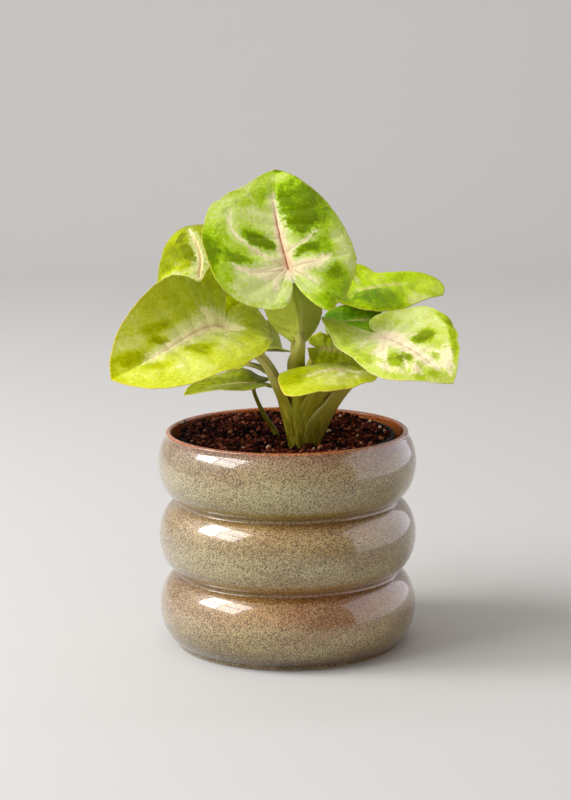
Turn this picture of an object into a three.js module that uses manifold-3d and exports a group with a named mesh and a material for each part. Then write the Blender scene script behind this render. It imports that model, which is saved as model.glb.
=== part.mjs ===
// Arrowhead plant (Syngonium) in a black nursery pot, standing in a ringed stoneware planter.
// Millimetres, +Z up, origin at the centre of the planter's foot, front towards -Y.
import * as THREE from 'three';
import { mergeVertices } from 'three/addons/utils/BufferGeometryUtils.js';
import Module from 'manifold-3d';

const wasm = await Module();
wasm.setup();

// ---- Driving dimensions -------------------------------------------------

const CLEARANCE = 0.3; // between pieces that touch

// Planter: three swollen rings of half-ellipse section over a small foot
const RING_COUNT = 3;
const RING_HALF_HEIGHT = 19.73;
const FIRST_RING_Z = 20.2;
const RING_RADIUS = 70;
const CREASE_RADIUS = 56.6;
const RING_START_ANGLE = -62; // degrees on the first ring, where it meets the foot
const RING_END_ANGLE = 46; // degrees on the last ring, where the lip starts
const FOOT_RADIUS = 61.6;
const FOOT_HEIGHT = 2.8;
const FOOT_CHAMFER = 1;
const LIP_TOP = 116.7;
const LIP_INNER_RADIUS = 62.8;
const LIP_THICKNESS = 2.8;
const LIP_ROUNDING = 1.2;
const LIP_FLAT = 1.2; // width of the flat on top of the lip
const INNER_CREASE_RADIUS = 51.8;
const FLOOR_Z = 10;
const PLANTER_SEGMENTS = 48;
const RING_STEPS = 7;

// Nursery pot: thin moulded pot with a stepped collar
const NURSERY_WALL = 1.3;
const NURSERY_BOTTOM_Z = FLOOR_Z + CLEARANCE;
const NURSERY_BOTTOM_RADIUS = 43;
const NURSERY_COLLAR_Z = 101;
const NURSERY_BODY_TOP_RADIUS = 53;
const NURSERY_COLLAR_RADIUS = 57.4;
const NURSERY_RIM_RADIUS = 58.4;
const NURSERY_RIM_HEIGHT = 3;
const NURSERY_TOP_Z = 114.6;
const DRAIN_COUNT = 5;
const DRAIN_RADIUS = 4;
const DRAIN_CIRCLE = 27;
const DRAIN_SEGMENTS = 12;

// Soil: crumbled surface that dips a little round the crown
const SOIL_EDGE_Z = 113.4;
const SOIL_DIP = 1.9;
const SOIL_RELIEF = 1.1;
const SOIL_LUMP = 6.5;
const SOIL_CRUMB = 3;
const SOIL_SEGMENTS = 40;
const SOIL_RINGS = 10;

// Crown: short stem with the leaf sheaths grown round it
const CROWN_SOIL = [8.4, -21];
const CROWN_SPLIT = [10, -16];
const CROWN_RADIUS = 9.6;
const CROWN_BOTTOM_Z = 94;
const CROWN_SHOULDER_Z = 112.6;
const CROWN_SHOULDER_DRAW = 2.5; // how far the shoulder draws in
const CROWN_SEGMENTS = 24;
const SHEATH_ROOT_Z = 102;
const SOIL_LINE_Z = 112;
const SPLIT_Z = 133;
const SHEATH_GATHER = 0.42; // share of the spread at the split that is left at the soil
const SHEATH_SOIL_WIDTH = 6; // half width of a sheath at the soil
const SHEATH_SWELL = 3; // how much wider a sheath is half way to the split
const SHEATH_LEAST_WRAP = 4; // least radius that a sheath is wrapped to
const SHEATH_EDGE_SHARE = 0.5; // thickness of a sheath at its edges over that at its middle
const SHEATH_STEPS = 7; // sections between the root and the split

// Blades and stalks
const BLADE_THICKNESS = 0.8;
const BLADE_RINGS = 5;
const SPOKES = [0, 6, 13, 22, 34, 48, 64, 82, 100, 117, 132, 145, 156, 167, 180];
const OUTLINE_ANGLES = [0, 18, 42, 75, 110, 140, 160, 180];
const HALF_WIDTH_SHARE = 0.6; // half width of a blade over its length, for the curl
const LOBE_SHARE = 0.5; // lobe length over blade length, for the turn of the lobes
const FLAT_REACH = 7; // mm from the joint over which the fold sets in
const STALK_SIDES = 8;
const STALK_TIP_SHARE = 0.6; // radius under the blade over girth
const STALK_STEP = 6; // mm between the sections of a stalk
const STALK_LEAST_STEPS = 7;
const NECK_LENGTH = 9;
const WAVE_HEIGHT = 1.2; // ripple of the margin
const WAVE_TURNS = 5; // half waves down each side of the margin
const WAVE_SHIFT = 40; // degrees between the ripples of the two halves

// ---- Materials ----------------------------------------------------------

function finish(color, roughness) {
  return () => new THREE.MeshStandardMaterial({ color, roughness, metalness: 0 });
}

const glaze = finish(0xa8946a, 0.35);
const blackPlastic = finish(0x17171a, 0.5);
const pottingSoil = finish(0x3a2019, 0.95);
const stalkSkin = finish(0x8a8f2e, 0.45);
const limeBlade = finish(0xa9c23f, 0.4);
const creamBlade = finish(0xd3dca0, 0.4);
const oliveBlade = finish(0x8a9f12, 0.4);

// ---- Helpers ------------------------------------------------------------

const rad = THREE.MathUtils.degToRad;

function closedMesh(positions, index) {
  const geometry = new THREE.BufferGeometry();
  geometry.setAttribute('position', new THREE.Float32BufferAttribute(positions, 3));
  geometry.setIndex(index);
  return geometry;
}

// Solid of revolution about Z; the profile is a list of [radius, z] that starts and ends on the axis.
function turned(profile, segments) {
  const points = profile.map(([radius, z]) => new THREE.Vector2(radius, z));
  return new THREE.LatheGeometry(points, segments).rotateX(Math.PI / 2);
}

// Solid through a stack of rings of equal point count, each end closed to that ring's centre.
function loft(rings) {
  const count = rings[0].length;
  const positions = rings.flat().flatMap((p) => [p.x, p.y, p.z]);
  const index = [];
  for (let ring = 0; ring + 1 < rings.length; ring += 1) {
    for (let i = 0; i < count; i += 1) {
      const next = (i + 1) % count;
      const a = ring * count + i;
      const b = ring * count + next;
      index.push(a, b, b + count, a, b + count, a + count);
    }
  }
  for (const ring of [0, rings.length - 1]) {
    const centre = new THREE.Vector3();
    rings[ring].forEach((p) => centre.addScaledVector(p, 1 / count));
    const hub = positions.length / 3;
    positions.push(centre.x, centre.y, centre.z);
    for (let i = 0; i < count; i += 1) {
      const a = ring * count + i;
      const b = ring * count + ((i + 1) % count);
      index.push(...(ring === 0 ? [hub, b, a] : [hub, a, b]));
    }
  }
  return closedMesh(positions, index);
}

// Round tube of changing radius along a stretch of a curve.
function sweep(curve, from, to, radiusAt, steps, sides = STALK_SIDES) {
  const rings = [];
  const side = new THREE.Vector3(1, 0, 0);
  for (let step = 0; step <= steps; step += 1) {
    const share = step / steps;
    const u = THREE.MathUtils.lerp(from, to, share);
    const centre = curve.getPointAt(u);
    const along = curve.getTangentAt(u);
    side.addScaledVector(along, -side.dot(along)).normalize();
    const across = new THREE.Vector3().crossVectors(along, side);
    const ring = [];
    for (let i = 0; i < sides; i += 1) {
      const angle = (2 * Math.PI * i) / sides;
      const point = centre.clone();
      point.addScaledVector(side, radiusAt(u) * Math.cos(angle));
      point.addScaledVector(across, radiusAt(u) * Math.sin(angle));
      ring.push(point);
    }
    rings.push(ring);
  }
  return loft(rings);
}

function toSolid(geometry) {
  const bare = geometry.clone();
  bare.deleteAttribute('normal');
  bare.deleteAttribute('uv');
  const merged = mergeVertices(bare, 1e-4);
  return new wasm.Manifold(new wasm.Mesh({
    numProp: 3,
    vertProperties: new Float32Array(merged.attributes.position.array),
    triVerts: new Uint32Array(merged.index.array),
  }));
}

function fromSolid(solid) {
  const mesh = solid.getMesh();
  return closedMesh(Array.from(mesh.vertProperties), Array.from(mesh.triVerts));
}

function smooth(t) {
  const x = THREE.MathUtils.clamp(t, 0, 1);
  return x * x * (3 - 2 * x);
}

// Smooth curve through samples at uneven places (Hermite, slopes from the neighbours).
function interpolate(places, values, place) {
  const last = places.length - 1;
  let i = places.findIndex((p) => p > place) - 1;
  if (i < 0) i = last - 1;
  const rise = (k) => (values[k + 1] - values[k]) / (places[k + 1] - places[k]);
  const slope = (k) => {
    if (k === 0) return rise(0);
    if (k === last) return rise(last - 1);
    const before = places[k] - places[k - 1];
    const after = places[k + 1] - places[k];
    return (rise(k - 1) * after + rise(k) * before) / (before + after);
  };
  const span = places[i + 1] - places[i];
  const t = (place - places[i]) / span;
  return (2 * t ** 3 - 3 * t ** 2 + 1) * values[i] + (t ** 3 - 2 * t ** 2 + t) * span * slope(i)
    + (3 * t ** 2 - 2 * t ** 3) * values[i + 1] + (t ** 3 - t ** 2) * span * slope(i + 1);
}

// Repeatable random number between 0 and 1 for a grid cell.
function cellValue(i, j) {
  const s = Math.sin(i * 127.1 + j * 311.7) * 43758.5453;
  return s - Math.floor(s);
}

// Smooth noise between -1 and 1 with lumps of unit size.
function lumps(x, y) {
  const i = Math.floor(x);
  const j = Math.floor(y);
  const fx = smooth(x - i);
  const fy = smooth(y - j);
  const low = THREE.MathUtils.lerp(cellValue(i, j), cellValue(i + 1, j), fx);
  const high = THREE.MathUtils.lerp(cellValue(i, j + 1), cellValue(i + 1, j + 1), fx);
  return 2 * THREE.MathUtils.lerp(low, high, fy) - 1;
}

// ---- Planter ------------------------------------------------------------

function ringPoint(ring, degrees, creaseRadius, fullRadius) {
  const angle = rad(degrees);
  const radius = creaseRadius + (fullRadius - creaseRadius) * Math.cos(angle);
  return [radius, FIRST_RING_Z + 2 * RING_HALF_HEIGHT * ring + RING_HALF_HEIGHT * Math.sin(angle)];
}

function ringArc(ring, from, to, creaseRadius, fullRadius, steps = RING_STEPS) {
  const points = [];
  for (let step = 0; step <= steps; step += 1) {
    points.push(ringPoint(ring, from + ((to - from) * step) / steps, creaseRadius, fullRadius));
  }
  return points;
}

function planterShape() {
  const top = RING_COUNT - 1;
  const floorAngle = THREE.MathUtils.radToDeg(Math.asin((FLOOR_Z - FIRST_RING_Z) / RING_HALF_HEIGHT));
  const lipMiddle = LIP_INNER_RADIUS + LIP_THICKNESS / 2;
  const outside = [
    ...ringArc(0, RING_START_ANGLE, 90, CREASE_RADIUS, RING_RADIUS),
    ...ringArc(1, -90, 90, CREASE_RADIUS, RING_RADIUS).slice(1),
    ...ringArc(top, -90, RING_END_ANGLE, CREASE_RADIUS, RING_RADIUS).slice(1),
  ];
  const inside = [
    ...ringArc(top, 0, -90, INNER_CREASE_RADIUS, LIP_INNER_RADIUS, 3),
    ...ringArc(1, 90, -90, INNER_CREASE_RADIUS, LIP_INNER_RADIUS, 5).slice(1),
    ...ringArc(0, 90, floorAngle, INNER_CREASE_RADIUS, LIP_INNER_RADIUS, 4).slice(1),
  ];
  return turned([
    [0, 0],
    [FOOT_RADIUS - FOOT_CHAMFER, 0],
    [FOOT_RADIUS, FOOT_CHAMFER],
    [FOOT_RADIUS, FOOT_HEIGHT],
    ...outside,
    [LIP_INNER_RADIUS + LIP_THICKNESS, LIP_TOP - LIP_ROUNDING],
    [lipMiddle + LIP_FLAT / 2, LIP_TOP],
    [lipMiddle - LIP_FLAT / 2, LIP_TOP],
    [LIP_INNER_RADIUS, LIP_TOP - LIP_ROUNDING],
    ...inside,
    [0, FLOOR_Z],
  ], PLANTER_SEGMENTS);
}

// ---- Nursery pot --------------------------------------------------------

function nurseryWallRadius(z) {
  if (z >= NURSERY_COLLAR_Z) return NURSERY_COLLAR_RADIUS;
  const share = (z - NURSERY_BOTTOM_Z) / (NURSERY_COLLAR_Z - NURSERY_BOTTOM_Z);
  return THREE.MathUtils.lerp(NURSERY_BOTTOM_RADIUS, NURSERY_BODY_TOP_RADIUS, share);
}

function nurseryShape() {
  const rimBottom = NURSERY_TOP_Z - NURSERY_RIM_HEIGHT;
  const body = turned([
    [0, NURSERY_BOTTOM_Z],
    [NURSERY_BOTTOM_RADIUS, NURSERY_BOTTOM_Z],
    [NURSERY_BODY_TOP_RADIUS, NURSERY_COLLAR_Z],
    [NURSERY_COLLAR_RADIUS, NURSERY_COLLAR_Z + NURSERY_WALL],
    [NURSERY_COLLAR_RADIUS, rimBottom],
    [NURSERY_RIM_RADIUS, rimBottom],
    [NURSERY_RIM_RADIUS, NURSERY_TOP_Z],
    [NURSERY_COLLAR_RADIUS - NURSERY_WALL, NURSERY_TOP_Z],
    [NURSERY_COLLAR_RADIUS - NURSERY_WALL, NURSERY_COLLAR_Z + 2 * NURSERY_WALL],
    [NURSERY_BODY_TOP_RADIUS - NURSERY_WALL, NURSERY_COLLAR_Z + NURSERY_WALL],
    [NURSERY_BOTTOM_RADIUS - NURSERY_WALL, NURSERY_BOTTOM_Z + NURSERY_WALL],
    [0, NURSERY_BOTTOM_Z + NURSERY_WALL],
  ], SOIL_SEGMENTS);
  let pot = toSolid(body);
  for (let i = 0; i < DRAIN_COUNT; i += 1) {
    const angle = (2 * Math.PI * i) / DRAIN_COUNT;
    const hole = new THREE.CylinderGeometry(DRAIN_RADIUS, DRAIN_RADIUS, 4 * NURSERY_WALL, DRAIN_SEGMENTS);
    hole.rotateX(Math.PI / 2);
    hole.translate(DRAIN_CIRCLE * Math.cos(angle), DRAIN_CIRCLE * Math.sin(angle), NURSERY_BOTTOM_Z);
    pot = pot.subtract(toSolid(hole));
  }
  return fromSolid(pot);
}

// ---- Soil ---------------------------------------------------------------

function soilHeight(x, y, share) {
  const coarse = lumps(x / SOIL_LUMP + 9, y / SOIL_LUMP + 4);
  const lump = coarse + 0.5 * lumps(x / SOIL_CRUMB + 2, y / SOIL_CRUMB + 7);
  const edge = 1 - share ** 6;
  return SOIL_EDGE_Z - SOIL_DIP * (1 - share ** 2) + SOIL_RELIEF * lump * edge;
}

function soilRing(radius, height) {
  const ring = [];
  for (let i = 0; i < SOIL_SEGMENTS; i += 1) {
    const angle = (2 * Math.PI * i) / SOIL_SEGMENTS;
    const x = radius * Math.cos(angle);
    const y = radius * Math.sin(angle);
    ring.push(new THREE.Vector3(x, y, height(x, y)));
  }
  return ring;
}

function soilShape(stemHoles) {
  const inset = NURSERY_WALL + CLEARANCE;
  const topRadius = NURSERY_COLLAR_RADIUS - inset;
  const floor = NURSERY_BOTTOM_Z + NURSERY_WALL + CLEARANCE;
  const rings = [
    soilRing(nurseryWallRadius(floor) - inset, () => floor),
    soilRing(nurseryWallRadius(NURSERY_COLLAR_Z - 1) - inset, () => NURSERY_COLLAR_Z + NURSERY_WALL),
    soilRing(topRadius, () => NURSERY_COLLAR_Z + 2 * NURSERY_WALL + 1),
  ];
  for (let step = SOIL_RINGS; step >= 1; step -= 1) {
    const share = step / SOIL_RINGS;
    rings.push(soilRing(topRadius * share, (x, y) => soilHeight(x, y, share)));
  }
  const soil = stemHoles.reduce((solid, hole) => solid.subtract(toSolid(hole)), toSolid(loft(rings)));
  return fromSolid(soil);
}

// ---- Leaves -------------------------------------------------------------
// Each leaf's joint is where its stalk meets the blade. aim is the midrib's compass angle from +X and
// its rise, in degrees, and roll turns the blade about it. left and right are the outline's radii in mm
// at OUTLINE_ANGLES between the tip and the sinus. fold, lobeFold and curl bend each half up from the
// midrib; nod and heel bend the tip and the lobes down; sway moves the tip sideways and skew the sinus.
// stalk lists the points of the stalk above the split, and girth is its radius there.

const LEAVES = [
  {
    name: 'top', joint: [1, -30, 208], aim: [108, 45], roll: -3, length: 75, sinus: 6,
    left: [59, 54, 47, 43, 34, 28], right: [63, 53, 44, 35, 33, 32],
    fold: [16, 5], lobeFold: [-9, -3], curl: [-5, -34], nod: 14, heel: -11, sway: 12, skew: 4,
    split: [7, -16], stalk: [[4.5, -9, 158], [5, -9, 183]], girth: 3.2, skin: creamBlade,
  },
  {
    name: 'left', joint: [-33, -20, 176], aim: [-129, -8], roll: -35, length: 70, sinus: 5,
    left: [61, 43, 30, 26, 31, 27], right: [61, 51, 42, 28, 34, 25],
    fold: [17, 13], lobeFold: [-31, 9], curl: [3, 54], nod: 44, heel: 1, sway: 12, skew: 40,
    split: [-1, -19], stalk: [[-5.7, -19.5, 144.8], [-13, -20, 158]], neck: 5, sheath: [4.3, 156],
    girth: 3.3, skin: limeBlade,
  },
  {
    name: 'upper_left', joint: [-48, 31, 196], aim: [105, 56], roll: -12, length: 54, sinus: 4,
    left: [42, 34, 32, 30, 30, 23], right: [43, 35, 32, 30, 30, 23],
    fold: [-7, 6], lobeFold: [0, 0], curl: [-65, -9], nod: 59, heel: 20, sway: -2, skew: -1,
    split: [-2, -11.5], stalk: [[-6, -11, 148], [-15.3, -4, 160], [-30, 6, 172], [-44, 24, 181]], neck: 7,
    sheath: [3.2, 144], girth: 2.7, skin: oliveBlade,
  },
  {
    name: 'right', joint: [51, -29, 171], aim: [-47, -7], roll: 19, length: 55, sinus: 4,
    left: [46, 40, 37, 33, 31, 23], right: [49, 45, 32, 30, 34, 24],
    fold: [-3, 13], lobeFold: [-1, 28], curl: [7, -9], nod: 20, heel: 0, sway: 7, skew: -7,
    split: [24, -23.5], stalk: [[34, -20.5, 145]], sheath: [6.2, 152], girth: 3.1, skin: creamBlade,
  },
  {
    name: 'upper_right', joint: [39.5, 28, 188], aim: [9, 8], roll: 1, length: 48, sinus: 4,
    left: [51, 27, 27, 28, 26, 20], right: [40, 33, 30, 22, 23, 19],
    fold: [10, -6], lobeFold: [41, 19], curl: [32, -26], nod: 24, heel: -1, sway: 2, skew: 1,
    split: [14.5, -8], stalk: [[13, 5, 150], [27, 16, 170]], sheath: [3.8, 150], girth: 2.8, skin: limeBlade,
  },
  {
    name: 'front', joint: [31, -37, 155], aim: [-146, 7], roll: -17, length: 40, sinus: 3,
    left: [44, 34, 23, 20, 17, 16], right: [36, 29, 27, 23, 21, 17],
    fold: [8, 2], lobeFold: [28, 16], curl: [-6, -47], nod: 30, heel: 0, sway: 1, skew: -10,
    split: [15.5, -27], stalk: [[20, -30, 143]], sheath: [5.8, 150], girth: 2.9, skin: limeBlade,
  },
  {
    name: 'lower_left', joint: [-17.5, 3, 141.4], aim: [-168, 3], roll: -10, length: 39, sinus: 3,
    left: [31, 26, 22, 16, 12, 8], right: [34, 26, 22, 18, 14, 10],
    fold: [12, 7], lobeFold: [-9, -14], curl: [2, -14], nod: 25, heel: 0, sway: 3, skew: 7,
    rooted: [-5, 1], stalk: [[-5.6, 1, 113.3], [-12.2, 1.5, 124.1]], neck: 3, girth: 1.9, skin: oliveBlade,
  },
  {
    name: 'young', joint: [7, -29, 172], aim: [88, 106], roll: 183, length: 29, sinus: 4,
    left: [29, 28, 21, 10, 6, 5], right: [30, 29, 22, 10, 6, 5],
    fold: [46, 36], lobeFold: [0, 0], curl: [12, 2], nod: 0, heel: 0, sway: 6, skew: 0,
    split: [7.5, -25.5], stalk: [[4.8, -21.7, 152]], sheath: [5, 174], girth: 3, skin: oliveBlade,
  },
  {
    name: 'inner_left', joint: [-24, 18, 158.5], aim: [34, 4], roll: 32, length: 34, sinus: 3,
    left: [33, 26, 23, 22, 22, 16], right: [31, 26, 23, 21, 22, 16],
    fold: [25, 20], lobeFold: [0, -22], curl: [2, 25], nod: 38, heel: 15, sway: -3, skew: 2,
    split: [2.5, -6], stalk: [[-5, -1, 144], [-14.5, 9.5, 149], [-23.5, 20, 150.5]], neck: 5, sheath: [3.2, 144],
    girth: 2.5, skin: oliveBlade,
  },
  {
    name: 'inner_right', joint: [19, -2, 161], aim: [0, -9], roll: 42, length: 25, sinus: 2,
    left: [20, 15, 10.5, 10, 10, 8], right: [20, 17, 14, 11, 10, 8],
    fold: [0, 7], lobeFold: [6, 39], curl: [-5, -34], nod: 2, heel: -7, sway: -2, skew: 1,
    split: [15.5, -18], stalk: [[15, -8, 148]], girth: 2.7, skin: oliveBlade,
  },
  {
    name: 'middle_right', joint: [43.5, 8, 174.8], aim: [187, 7], roll: -32, length: 27, sinus: 2,
    left: [24, 22, 19, 18, 17, 13], right: [25, 17, 12, 11, 11, 9],
    fold: [16, 12], lobeFold: [0, 0], curl: [0, 0], nod: 77, heel: 10, sway: 9, skew: 0,
    split: [22, -11], stalk: [[23, -2, 145], [33, 14, 160]], sheath: [3.8, 146], girth: 2.5, skin: oliveBlade,
  },
];

// Unit vectors of a blade at its joint: along the midrib, to its right and out of its upper face.
function bladeAxes(leaf) {
  const [compass, rise] = leaf.aim.map(rad);
  const roll = rad(leaf.roll);
  const along = new THREE.Vector3(
    Math.cos(rise) * Math.cos(compass),
    Math.cos(rise) * Math.sin(compass),
    Math.sin(rise),
  );
  const level = new THREE.Vector3(Math.sin(compass), -Math.cos(compass), 0);
  const above = new THREE.Vector3().crossVectors(level, along);
  const side = level.clone().multiplyScalar(Math.cos(roll)).addScaledVector(above, -Math.sin(roll));
  const up = above.multiplyScalar(Math.cos(roll)).addScaledVector(level, Math.sin(roll));
  return { along, side, up };
}

// Outline radius of one half at an angle from the tip.
function outlineRadius(leaf, half, degrees) {
  const radii = [leaf.length, ...(half > 0 ? leaf.right : leaf.left), leaf.sinus];
  return interpolate(OUTLINE_ANGLES, radii, degrees);
}

// A point of the flat blade (u to the right, v towards the tip, rise off it) bent to its place in space.
function bendBlade(leaf, axes, u, v, rise = 0) {
  const half = u >= 0 ? 1 : 0;
  const lobe = smooth(-v / (LOBE_SHARE * leaf.length));
  const ease = smooth(Math.hypot(u, v) / FLAT_REACH);
  const fold = ease * rad(leaf.fold[half] + leaf.lobeFold[half] * lobe);
  const bend = (rad(leaf.curl[half]) || 1e-6) / (HALF_WIDTH_SHARE * leaf.length);
  const reach = Math.abs(u);
  const across = ((Math.sin(fold + bend * reach) - Math.sin(fold)) / bend) * Math.sign(u);
  const lift = (Math.cos(fold) - Math.cos(fold + bend * reach)) / bend + rise;
  const droop = (rad(v >= 0 ? leaf.nod : leaf.heel) || 1e-6) / leaf.length;
  const sway = v > 0 ? leaf.sway * (v / leaf.length) ** 2 : 0;
  const forward = Math.sin(droop * v) / droop + lift * Math.sin(droop * v);
  const height = (Math.cos(droop * v) - 1) / droop + lift * Math.cos(droop * v);
  return new THREE.Vector3(...leaf.joint)
    .addScaledVector(axes.side, across + sway)
    .addScaledVector(axes.along, forward)
    .addScaledVector(axes.up, height);
}

// Blade of even thickness, cut into the same triangles on both faces.
function bladeShape(leaf) {
  const axes = bladeAxes(leaf);
  const spokes = [
    ...SPOKES.map((degrees) => [1, degrees]),
    ...SPOKES.slice(1, -1).reverse().map((degrees) => [-1, degrees]),
  ];
  const count = spokes.length;
  const middle = [bendBlade(leaf, axes, 0, 0)];
  for (let ring = 1; ring <= BLADE_RINGS; ring += 1) {
    for (const [half, degrees] of spokes) {
      const share = ring / BLADE_RINGS;
      const radius = outlineRadius(leaf, half, degrees) * share;
      const angle = rad(degrees * (1 - (half * leaf.skew) / 180));
      const ripple = Math.sin(rad(degrees)) * Math.sin(rad(WAVE_TURNS * degrees + half * WAVE_SHIFT));
      const rise = WAVE_HEIGHT * share ** 2 * ripple;
      middle.push(bendBlade(leaf, axes, half * radius * Math.sin(angle), radius * Math.cos(angle), rise));
    }
  }
  const face = [];
  for (let i = 0; i < count; i += 1) {
    const next = (i + 1) % count;
    face.push([0, 1 + next, 1 + i]);
    for (let ring = 0; ring + 1 < BLADE_RINGS; ring += 1) {
      const a = 1 + ring * count + i;
      const b = 1 + ring * count + next;
      face.push([a, b, b + count], [a, b + count, a + count]);
    }
  }
  const sheet = closedMesh(middle.flatMap((p) => [p.x, p.y, p.z]), face.flat());
  sheet.computeVertexNormals();
  const normals = sheet.attributes.normal;
  const total = middle.length;
  const positions = [1, -1].flatMap((way) => middle.flatMap((p, i) => {
    const normal = new THREE.Vector3().fromBufferAttribute(normals, i);
    const point = p.clone().addScaledVector(normal, (way * BLADE_THICKNESS) / 2);
    return [point.x, point.y, point.z];
  }));
  const index = [];
  for (const [a, b, c] of face) {
    index.push(a, b, c, total + a, total + c, total + b);
  }
  const rim = 1 + (BLADE_RINGS - 1) * count;
  for (let i = 0; i < count; i += 1) {
    const a = rim + i;
    const b = rim + ((i + 1) % count);
    index.push(a, b, total + b, a, total + b, total + a);
  }
  return closedMesh(positions, index);
}

// Path of a stalk from its root to the underside of its blade.
function stalkCurve(leaf) {
  const { up } = bladeAxes(leaf);
  const seat = BLADE_THICKNESS / 2 + 2 * CLEARANCE;
  const end = new THREE.Vector3(...leaf.joint).addScaledVector(up, -seat);
  const neck = end.clone().addScaledVector(up, -(leaf.neck ?? NECK_LENGTH));
  const below = [];
  if (leaf.rooted) {
    below.push(new THREE.Vector3(...leaf.rooted, SHEATH_ROOT_Z));
  } else {
    const offset = leaf.split.map((value, i) => value - CROWN_SPLIT[i]);
    for (const [z, gather] of [[SHEATH_ROOT_Z, SHEATH_GATHER], [SOIL_LINE_Z, SHEATH_GATHER], [SPLIT_Z, 1]]) {
      const share = (gather - SHEATH_GATHER) / (1 - SHEATH_GATHER);
      const x = THREE.MathUtils.lerp(CROWN_SOIL[0], CROWN_SPLIT[0], share) + gather * offset[0];
      const y = THREE.MathUtils.lerp(CROWN_SOIL[1], CROWN_SPLIT[1], share) + gather * offset[1];
      below.push(new THREE.Vector3(x, y, z));
    }
  }
  const above = leaf.stalk.map((point) => new THREE.Vector3(...point));
  return new THREE.CatmullRomCurve3([...below, ...above, neck, end], false, 'centripetal');
}

// Place on the curve, 0 to 1, where it first reaches a height.
function reachAt(curve, z) {
  const steps = 400;
  for (let step = 0; step <= steps; step += 1) {
    if (curve.getPointAt(step / steps).z >= z) return step / steps;
  }
  return 1;
}

function stalkRadius(leaf) {
  return (u) => leaf.girth * THREE.MathUtils.lerp(1, STALK_TIP_SHARE, smooth(u * 1.1));
}

// Half width of a stalk round the crown's axis: its sheath is widest at the soil and narrows to the stalk above.
function sheathWidth(leaf, z, radius) {
  if (!leaf.sheath) return radius;
  const [splitWidth, top] = leaf.sheath;
  const below = THREE.MathUtils.clamp((SPLIT_Z - z) / (SPLIT_Z - SOIL_LINE_Z), 0, 1);
  const above = smooth((z - SPLIT_Z) / (top - SPLIT_Z));
  const swell = SHEATH_SWELL * Math.sin(Math.PI * below);
  const width = THREE.MathUtils.lerp(splitWidth, SHEATH_SOIL_WIDTH, below) + swell;
  return Math.max(THREE.MathUtils.lerp(width, radius, above), radius);
}

// Stretch of a stalk: a crescent that wraps the crown's axis where the sheath is wide, round above it.
function stalkShape(leaf, curve, from, to, steps) {
  const radiusAt = stalkRadius(leaf);
  const [x, y] = leaf.split ? leaf.split.map((value, i) => value - CROWN_SPLIT[i]) : [-1, 0];
  const reference = new THREE.Vector3(y, -x, 0).normalize();
  const rings = [];
  for (let step = 0; step <= steps; step += 1) {
    const u = THREE.MathUtils.lerp(from, to, step / steps);
    const centre = curve.getPointAt(u);
    const along = curve.getTangentAt(u);
    const side = reference.clone().addScaledVector(along, -reference.dot(along)).normalize();
    const outward = new THREE.Vector3().crossVectors(along, side);
    const radius = radiusAt(u);
    const width = sheathWidth(leaf, centre.z, radius);
    const open = THREE.MathUtils.clamp(2 * (width / radius - 1), 0, 1);
    const rise = THREE.MathUtils.clamp((centre.z - SOIL_LINE_Z) / (SPLIT_Z - SOIL_LINE_Z), 0, 1);
    const axis = CROWN_SOIL.map((value, i) => THREE.MathUtils.lerp(value, CROWN_SPLIT[i], rise));
    const wrap = Math.max(Math.hypot(centre.x - axis[0], centre.y - axis[1]), SHEATH_LEAST_WRAP);
    const ring = [];
    for (let i = 0; i < STALK_SIDES; i += 1) {
      const angle = (2 * Math.PI * i) / STALK_SIDES;
      const across = width * Math.cos(angle);
      const thin = 1 - open * (1 - SHEATH_EDGE_SHARE) * Math.cos(angle) ** 2;
      const lift = radius * thin * Math.sin(angle) - open * wrap * (1 - Math.cos(across / wrap));
      const reach = THREE.MathUtils.lerp(across, wrap * Math.sin(across / wrap), open);
      ring.push(centre.clone().addScaledVector(side, reach).addScaledVector(outward, lift));
    }
    rings.push(ring);
  }
  return loft(rings);
}

// ---- Assembly -----------------------------------------------------------

const plant = new THREE.Group();

function add(name, geometry, material) {
  const mesh = new THREE.Mesh(geometry, material());
  mesh.name = name;
  plant.add(mesh);
}

const crownPost = turned([
  [0, CROWN_BOTTOM_Z],
  [CROWN_RADIUS - CROWN_SHOULDER_DRAW, CROWN_BOTTOM_Z],
  [CROWN_RADIUS, CROWN_BOTTOM_Z + CROWN_SHOULDER_DRAW],
  [CROWN_RADIUS, CROWN_SHOULDER_Z - CROWN_SHOULDER_DRAW],
  [CROWN_RADIUS - CROWN_SHOULDER_DRAW, CROWN_SHOULDER_Z],
  [0, CROWN_SHOULDER_Z],
], CROWN_SEGMENTS).translate(...CROWN_SOIL, 0);

const crownHole = turned([
  [0, CROWN_BOTTOM_Z - CLEARANCE],
  [CROWN_RADIUS + CLEARANCE, CROWN_BOTTOM_Z - CLEARANCE],
  [CROWN_RADIUS + CLEARANCE, LIP_TOP],
  [0, LIP_TOP],
], CROWN_SEGMENTS).translate(...CROWN_SOIL, 0);

let crown = toSolid(crownPost);
const stemHoles = [crownHole];
for (const leaf of LEAVES) {
  const curve = stalkCurve(leaf);
  const radiusAt = stalkRadius(leaf);
  const length = curve.getLength();
  let start = 0;
  if (leaf.rooted) {
    const mouth = reachAt(curve, LIP_TOP);
    stemHoles.push(sweep(curve, 0, mouth, (u) => radiusAt(u) + CLEARANCE, 4));
    start = (2 * CLEARANCE) / length;
  } else {
    const split = reachAt(curve, SPLIT_Z);
    crown = crown.add(toSolid(stalkShape(leaf, curve, 0, split, SHEATH_STEPS)));
    start = split + CLEARANCE / length;
  }
  const steps = Math.max(STALK_LEAST_STEPS, Math.round((length * (1 - start)) / STALK_STEP));
  add(`stalk_${leaf.name}`, stalkShape(leaf, curve, start, 1, steps), stalkSkin);
  add(`blade_${leaf.name}`, bladeShape(leaf), leaf.skin);
}

add('planter', planterShape(), glaze);
add('nursery_pot', nurseryShape(), blackPlastic);
add('soil', soilShape(stemHoles), pottingSoil);
add('crown', fromSolid(crown), stalkSkin);

export default plant;
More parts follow.
